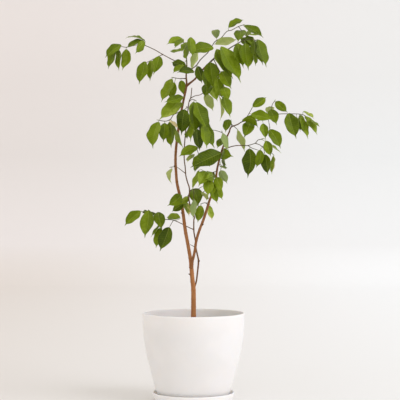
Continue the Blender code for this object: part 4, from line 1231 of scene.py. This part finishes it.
def vein_shares(graph):
    """(Midrib, side veins, edge band for a painted highlight) of a leaf blade, each 1 on its line and
    0 off it.
    """
    s, t, offset = graph.split(graph.read("place", "Vector"))
    from_middle = graph.sum("ABSOLUTE", s)
    width = graph.sum("SUBTRACT", 0.75, graph.sum("MULTIPLY", t, 0.5))
    midrib = graph.between(graph.sum("ABSOLUTE", offset), width, 0.1)
    phase = graph.sum("SUBTRACT", graph.sum("MULTIPLY", t, float(VEINS)),
                      graph.sum("MULTIPLY", from_middle, 1.7))
    wave = graph.sum("ABSOLUTE", graph.sum("SUBTRACT", graph.sum("FRACT", phase), 0.5))
    side = graph.between(wave, 0.36, 0.5)
    side = graph.sum("MULTIPLY", side, graph.between(from_middle, 1.0, 0.75, 0.25, 1.0))
    # The band along the edge that carries a painted highlight.
    painted_edge_highlight = graph.between(from_middle, 0.93, 1.0)
    return midrib, side, painted_edge_highlight


def leaf_upper():
    """Glossy green, darker or yellower from leaf to leaf, with a pale midrib, fine veins and a
    painted highlight along the edge.
    """
    graph = Graph("leaf_upper", Specular_IOR_Level=0.12)
    midrib, side, painted_edge_highlight = vein_shares(graph)
    mottle = graph.noise(graph.place(), 85.0, 4.0)
    tone = graph.sum("ADD", graph.read("tone", "Fac"), graph.between(mottle, 0.3, 0.7, -0.08, 0.08))
    colour = graph.ramp(tone, (0.0, (0.045, 0.072, 0.002)), (0.3, (0.102, 0.152, 0.002)),
                        (0.55, (0.165, 0.235, 0.003)), (0.75, (0.245, 0.325, 0.022)),
                        (0.9, (0.38, 0.46, 0.07)), (1.0, (0.95, 0.76, 0.40)))
    colour = graph.blend(side, 0.28, colour, (0.23, 0.32, 0.03))
    # Painted highlight: a paler band along the leaf's edge.
    colour = graph.blend(painted_edge_highlight, 0.35, colour, (0.29, 0.36, 0.05))
    colour = graph.blend(midrib, 0.75, colour, (0.36, 0.42, 0.09))
    relief = graph.sum("SUBTRACT", graph.sum("MULTIPLY", mottle, 0.4), side)
    graph.bump(relief, 0.25, 0.5)
    return graph.finish(colour, graph.between(mottle, 0.2, 0.8, 0.36, 0.5))


def leaf_under():
    """Dull grey green, with raised veins."""
    graph = Graph("leaf_under", Specular_IOR_Level=0.35)
    midrib, side, _ = vein_shares(graph)
    mottle = graph.noise(graph.place(), 110.0, 4.0)
    colour = graph.ramp(graph.read("tone", "Fac"), (0.0, (0.26, 0.34, 0.10)),
                        (0.6, (0.45, 0.52, 0.14)), (1.0, (0.58, 0.62, 0.20)))
    colour = graph.mix(graph.between(mottle, 0.3, 0.7, 0.0, 0.22), colour, (0.20, 0.30, 0.10))
    colour = graph.blend(side, 0.3, colour, (0.36, 0.45, 0.20))
    colour = graph.blend(midrib, 0.8, colour, (0.47, 0.53, 0.25))
    graph.bump(graph.sum("ADD", side, midrib), 0.3, 0.5)
    return graph.finish(colour, graph.between(mottle, 0.2, 0.8, 0.55, 0.7))


def bark():
    """Tan orange on the trunk, redder on the stems and grey brown on thin branches."""
    graph = Graph("bark", Specular_IOR_Level=0.3)
    grain = graph.read("place", "Vector")
    streaks = graph.noise(graph.stretch(grain, (1.0, 1.0, 0.1)), 900.0, 4.0, 0.6)
    blotches = graph.noise(grain, 120.0, 3.0)
    pores = graph.spots(graph.stretch(grain, (0.35, 0.35, 1.0)), 420.0)
    pore = graph.between(pores, 0.28, 0.12)
    colour = graph.ramp(graph.read("tone", "Fac"), (0.0, (0.10, 0.075, 0.035)),
                        (0.12, (0.12, 0.07, 0.032)), (0.35, (0.20, 0.08, 0.027)),
                        (0.6, (0.34, 0.135, 0.042)), (1.0, (0.53, 0.215, 0.07)))
    colour = graph.mix(graph.between(streaks, 0.35, 0.65, 0.0, 0.45), colour, (0.13, 0.05, 0.017))
    colour = graph.mix(graph.between(blotches, 0.5, 0.72, 0.0, 0.3), colour, (0.50, 0.27, 0.12))
    colour = graph.blend(pore, 0.4, colour, (0.50, 0.32, 0.17))
    relief = graph.sum("ADD", graph.sum("MULTIPLY", streaks, 0.6), graph.sum("MULTIPLY", pore, 0.5))
    graph.bump(relief, 0.5, 0.7)
    return graph.finish(colour, graph.between(streaks, 0.3, 0.7, 0.62, 0.8))


def young_bark():
    """Grey brown with a green tinge, and small pale pores."""
    graph = Graph("young_bark", Specular_IOR_Level=0.35)
    grain = graph.read("place", "Vector")
    streaks = graph.noise(graph.stretch(grain, (1.0, 1.0, 0.12)), 1500.0, 3.0)
    pore = graph.between(graph.spots(grain, 700.0), 0.25, 0.1)
    green = graph.noise(grain, 45.0, 2.0)
    colour = graph.ramp(green, (0.3, (0.10, 0.065, 0.03)), (0.5, (0.085, 0.075, 0.025)),
                        (0.7, (0.08, 0.095, 0.02)))
    colour = graph.mix(graph.between(streaks, 0.35, 0.7, 0.0, 0.4), colour, (0.05, 0.032, 0.015))
    colour = graph.blend(pore, 0.4, colour, (0.28, 0.22, 0.12))
    graph.bump(graph.sum("ADD", streaks, pore), 0.25, 0.6)
    return graph.finish(colour, graph.between(streaks, 0.3, 0.7, 0.5, 0.68))


def stalk_green():
    """Yellow green leaf stalks and buds, browner in places."""
    graph = Graph("stalk_green", Specular_IOR_Level=0.45)
    grain = graph.read("place", "Vector")
    patches = graph.noise(graph.place(), 160.0, 3.0)
    fine = graph.noise(graph.stretch(grain, (1.0, 1.0, 0.1)), 2400.0, 2.0)
    colour = graph.ramp(patches, (0.35, (0.20, 0.27, 0.06)), (0.55, (0.27, 0.32, 0.09)),
                        (0.75, (0.27, 0.20, 0.09)))
    colour = graph.mix(graph.between(fine, 0.4, 0.7, 0.0, 0.25), colour, (0.12, 0.12, 0.04))
    graph.bump(fine, 0.1, 0.5)
    return graph.finish(colour, graph.between(patches, 0.3, 0.7, 0.4, 0.55))


def sawn_wood():
    """The pale cut face of a branch."""
    graph = Graph("sawn_wood", Specular_IOR_Level=0.25)
    fine = graph.noise(graph.place(), 900.0, 3.0)
    colour = graph.ramp(fine, (0.3, (0.42, 0.30, 0.18)), (0.7, (0.62, 0.50, 0.34)))
    graph.bump(fine, 0.2, 0.5)
    return graph.finish(colour, graph.between(fine, 0.3, 0.7, 0.75, 0.9))


def white_plastic(name, tint):
    """Satin moulded plastic: a fine grain, faint clouding, and light scuffs low down."""
    graph = Graph(name, Specular_IOR_Level=0.45, Subsurface_Weight=0.6,
                  Subsurface_Scale=0.004, Subsurface_Radius=(1.0, 0.9, 0.8))
    place = graph.place()
    cloud = graph.noise(place, 9.0, 3.0)
    grain = graph.noise(place, 1400.0, 2.0)
    scuff = graph.between(graph.noise(graph.stretch(place, (1.0, 1.0, 4.0)), 55.0, 5.0, 0.7),
                          0.62, 0.75)
    low = graph.between(graph.split(place)[2], 0.12, 0.01)
    shade = tuple(part * CLOUD_SHADE for part in tint)
    colour = graph.mix(graph.between(cloud, 0.35, 0.65, 0.0, 0.6), tint, shade)
    colour = graph.blend(graph.sum("MULTIPLY", scuff, low), 0.25, colour, (0.60, 0.55, 0.48))
    graph.bump(grain, 0.05, 0.35)
    return graph.finish(colour, graph.between(cloud, 0.3, 0.7, 0.36, 0.48))


def potting_soil():
    """Dark damp peat, lighter where it has dried."""
    graph = Graph("potting_soil", Specular_IOR_Level=0.2)
    place = graph.place()
    fine = graph.noise(place, 420.0, 5.0, 0.7)
    patches = graph.noise(place, 28.0, 3.0)
    value = graph.sum("ADD", graph.sum("MULTIPLY", graph.read("tone", "Fac"), 0.5),
                      graph.sum("MULTIPLY", fine, 0.5))
    colour = graph.ramp(value, (0.25, (0.018, 0.011, 0.007)), (0.5, (0.045, 0.029, 0.018)),
                        (0.8, (0.10, 0.065, 0.038)))
    colour = graph.mix(graph.between(patches, 0.45, 0.7, 0.0, 0.4), colour, (0.11, 0.08, 0.055))
    graph.bump(fine, 1.2, 0.9)
    return graph.finish(colour, graph.between(fine, 0.3, 0.7, 0.85, 1.0))


def pale_grit():
    """Chalky white grains."""
    graph = Graph("pale_grit", Specular_IOR_Level=0.25)
    fine = graph.noise(graph.place(), 1600.0, 3.0)
    colour = graph.ramp(fine, (0.3, (0.50, 0.47, 0.42)), (0.6, (0.78, 0.76, 0.72)))
    graph.bump(fine, 0.3, 0.7)
    return graph.finish(colour, graph.between(fine, 0.3, 0.7, 0.8, 0.95))


def make_stage():
    """A pale floor that sweeps up into a wall far behind, darker and warmer on the left and lighter
    on the right: painted shade and painted light.
    """
    graph = Graph("pale_stage_painted_light", Specular_IOR_Level=0.1)
    place = graph.place()
    cloud = graph.noise(place, 0.6, 2.0)
    # Painted shade on the left, fading into painted light on the right.
    across = graph.between(graph.split(place)[0], -STAGE_FADE, STAGE_FADE)
    rise = graph.between(graph.split(place)[2], 0.0, STAGE_SIGHT)
    colour = graph.mix(across, graph.ramp(rise, *STAGE_PAINTED_SHADE), graph.ramp(rise, *STAGE_PAINTED_LIGHT))
    finish = graph.finish(colour, graph.between(cloud, 0.3, 0.7, 0.85, 0.95))
    foot = STAGE_BACK - STAGE_CURVE
    line = [(-STAGE_FRONT, 0.0), (foot, 0.0)]
    line += [(foot + STAGE_CURVE * math.sin(turn), STAGE_CURVE - STAGE_CURVE * math.cos(turn))
             for turn in np.linspace(0.0, math.pi / 2, STAGE_STEPS)[1:]]
    line.append((STAGE_BACK, STAGE_HEIGHT))
    points = [(x, y, z) for y, z in line for x in (-STAGE_WIDE, STAGE_WIDE)]
    mesh = new_mesh("stage_sweep", points, grid_faces(len(line), 2, False), (finish,))
    mesh.shade_smooth()
    floor = stand("stage_sweep", mesh)


def make_light():
    """Soft daylight all round, with a broad light from the right."""
    world = bpy.data.worlds.new("studio")
    world.use_nodes = True
    sky = world.node_tree.nodes["Background"]
    sky.inputs["Color"].default_value = (*SKY_COLOUR, 1.0)
    sky.inputs["Strength"].default_value = SKY_STRENGTH
    bpy.context.scene.world = world
    lamp = bpy.data.lights.new("window", "SUN")
    lamp.energy = SUN_STRENGTH
    lamp.color = SUN_COLOUR
    lamp.angle = math.radians(SUN_SPREAD)
    turn = Vector(SUN_FROM).to_track_quat("Z", "Y").to_euler()
    stand("window", lamp).rotation_euler = turn


def make_camera():
    """The photograph's level view, from the sight lines' own point."""
    camera = bpy.data.cameras.new("camera")
    camera.lens = LENS
    camera.clip_end = VIEW_END
    made = stand("camera", camera)
    made.location = VIEW_POINT
    made.rotation_euler = (math.pi / 2, 0.0, 0.0)
    bpy.context.scene.camera = made


def main():
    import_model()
    stretches, young, leaves = lay_out()
    leaf_materials = (leaf_upper(), leaf_under(), young_bark(), stalk_green())
    for name in SPRAYS:
        grow_spray(name, young[name], leaves[name], leaf_materials)
    grow_wood(stretches, (bark(), sawn_wood()))
    make_saucer(white_plastic("saucer_plastic", SAUCER_TINT))
    make_pot(white_plastic("pot_plastic", POT_TINT))
    make_soil(potting_soil(), pale_grit())
    make_stage()
    make_light()
    make_camera()
    bpy.context.scene.view_settings.view_transform = "Standard"
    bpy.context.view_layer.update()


main()
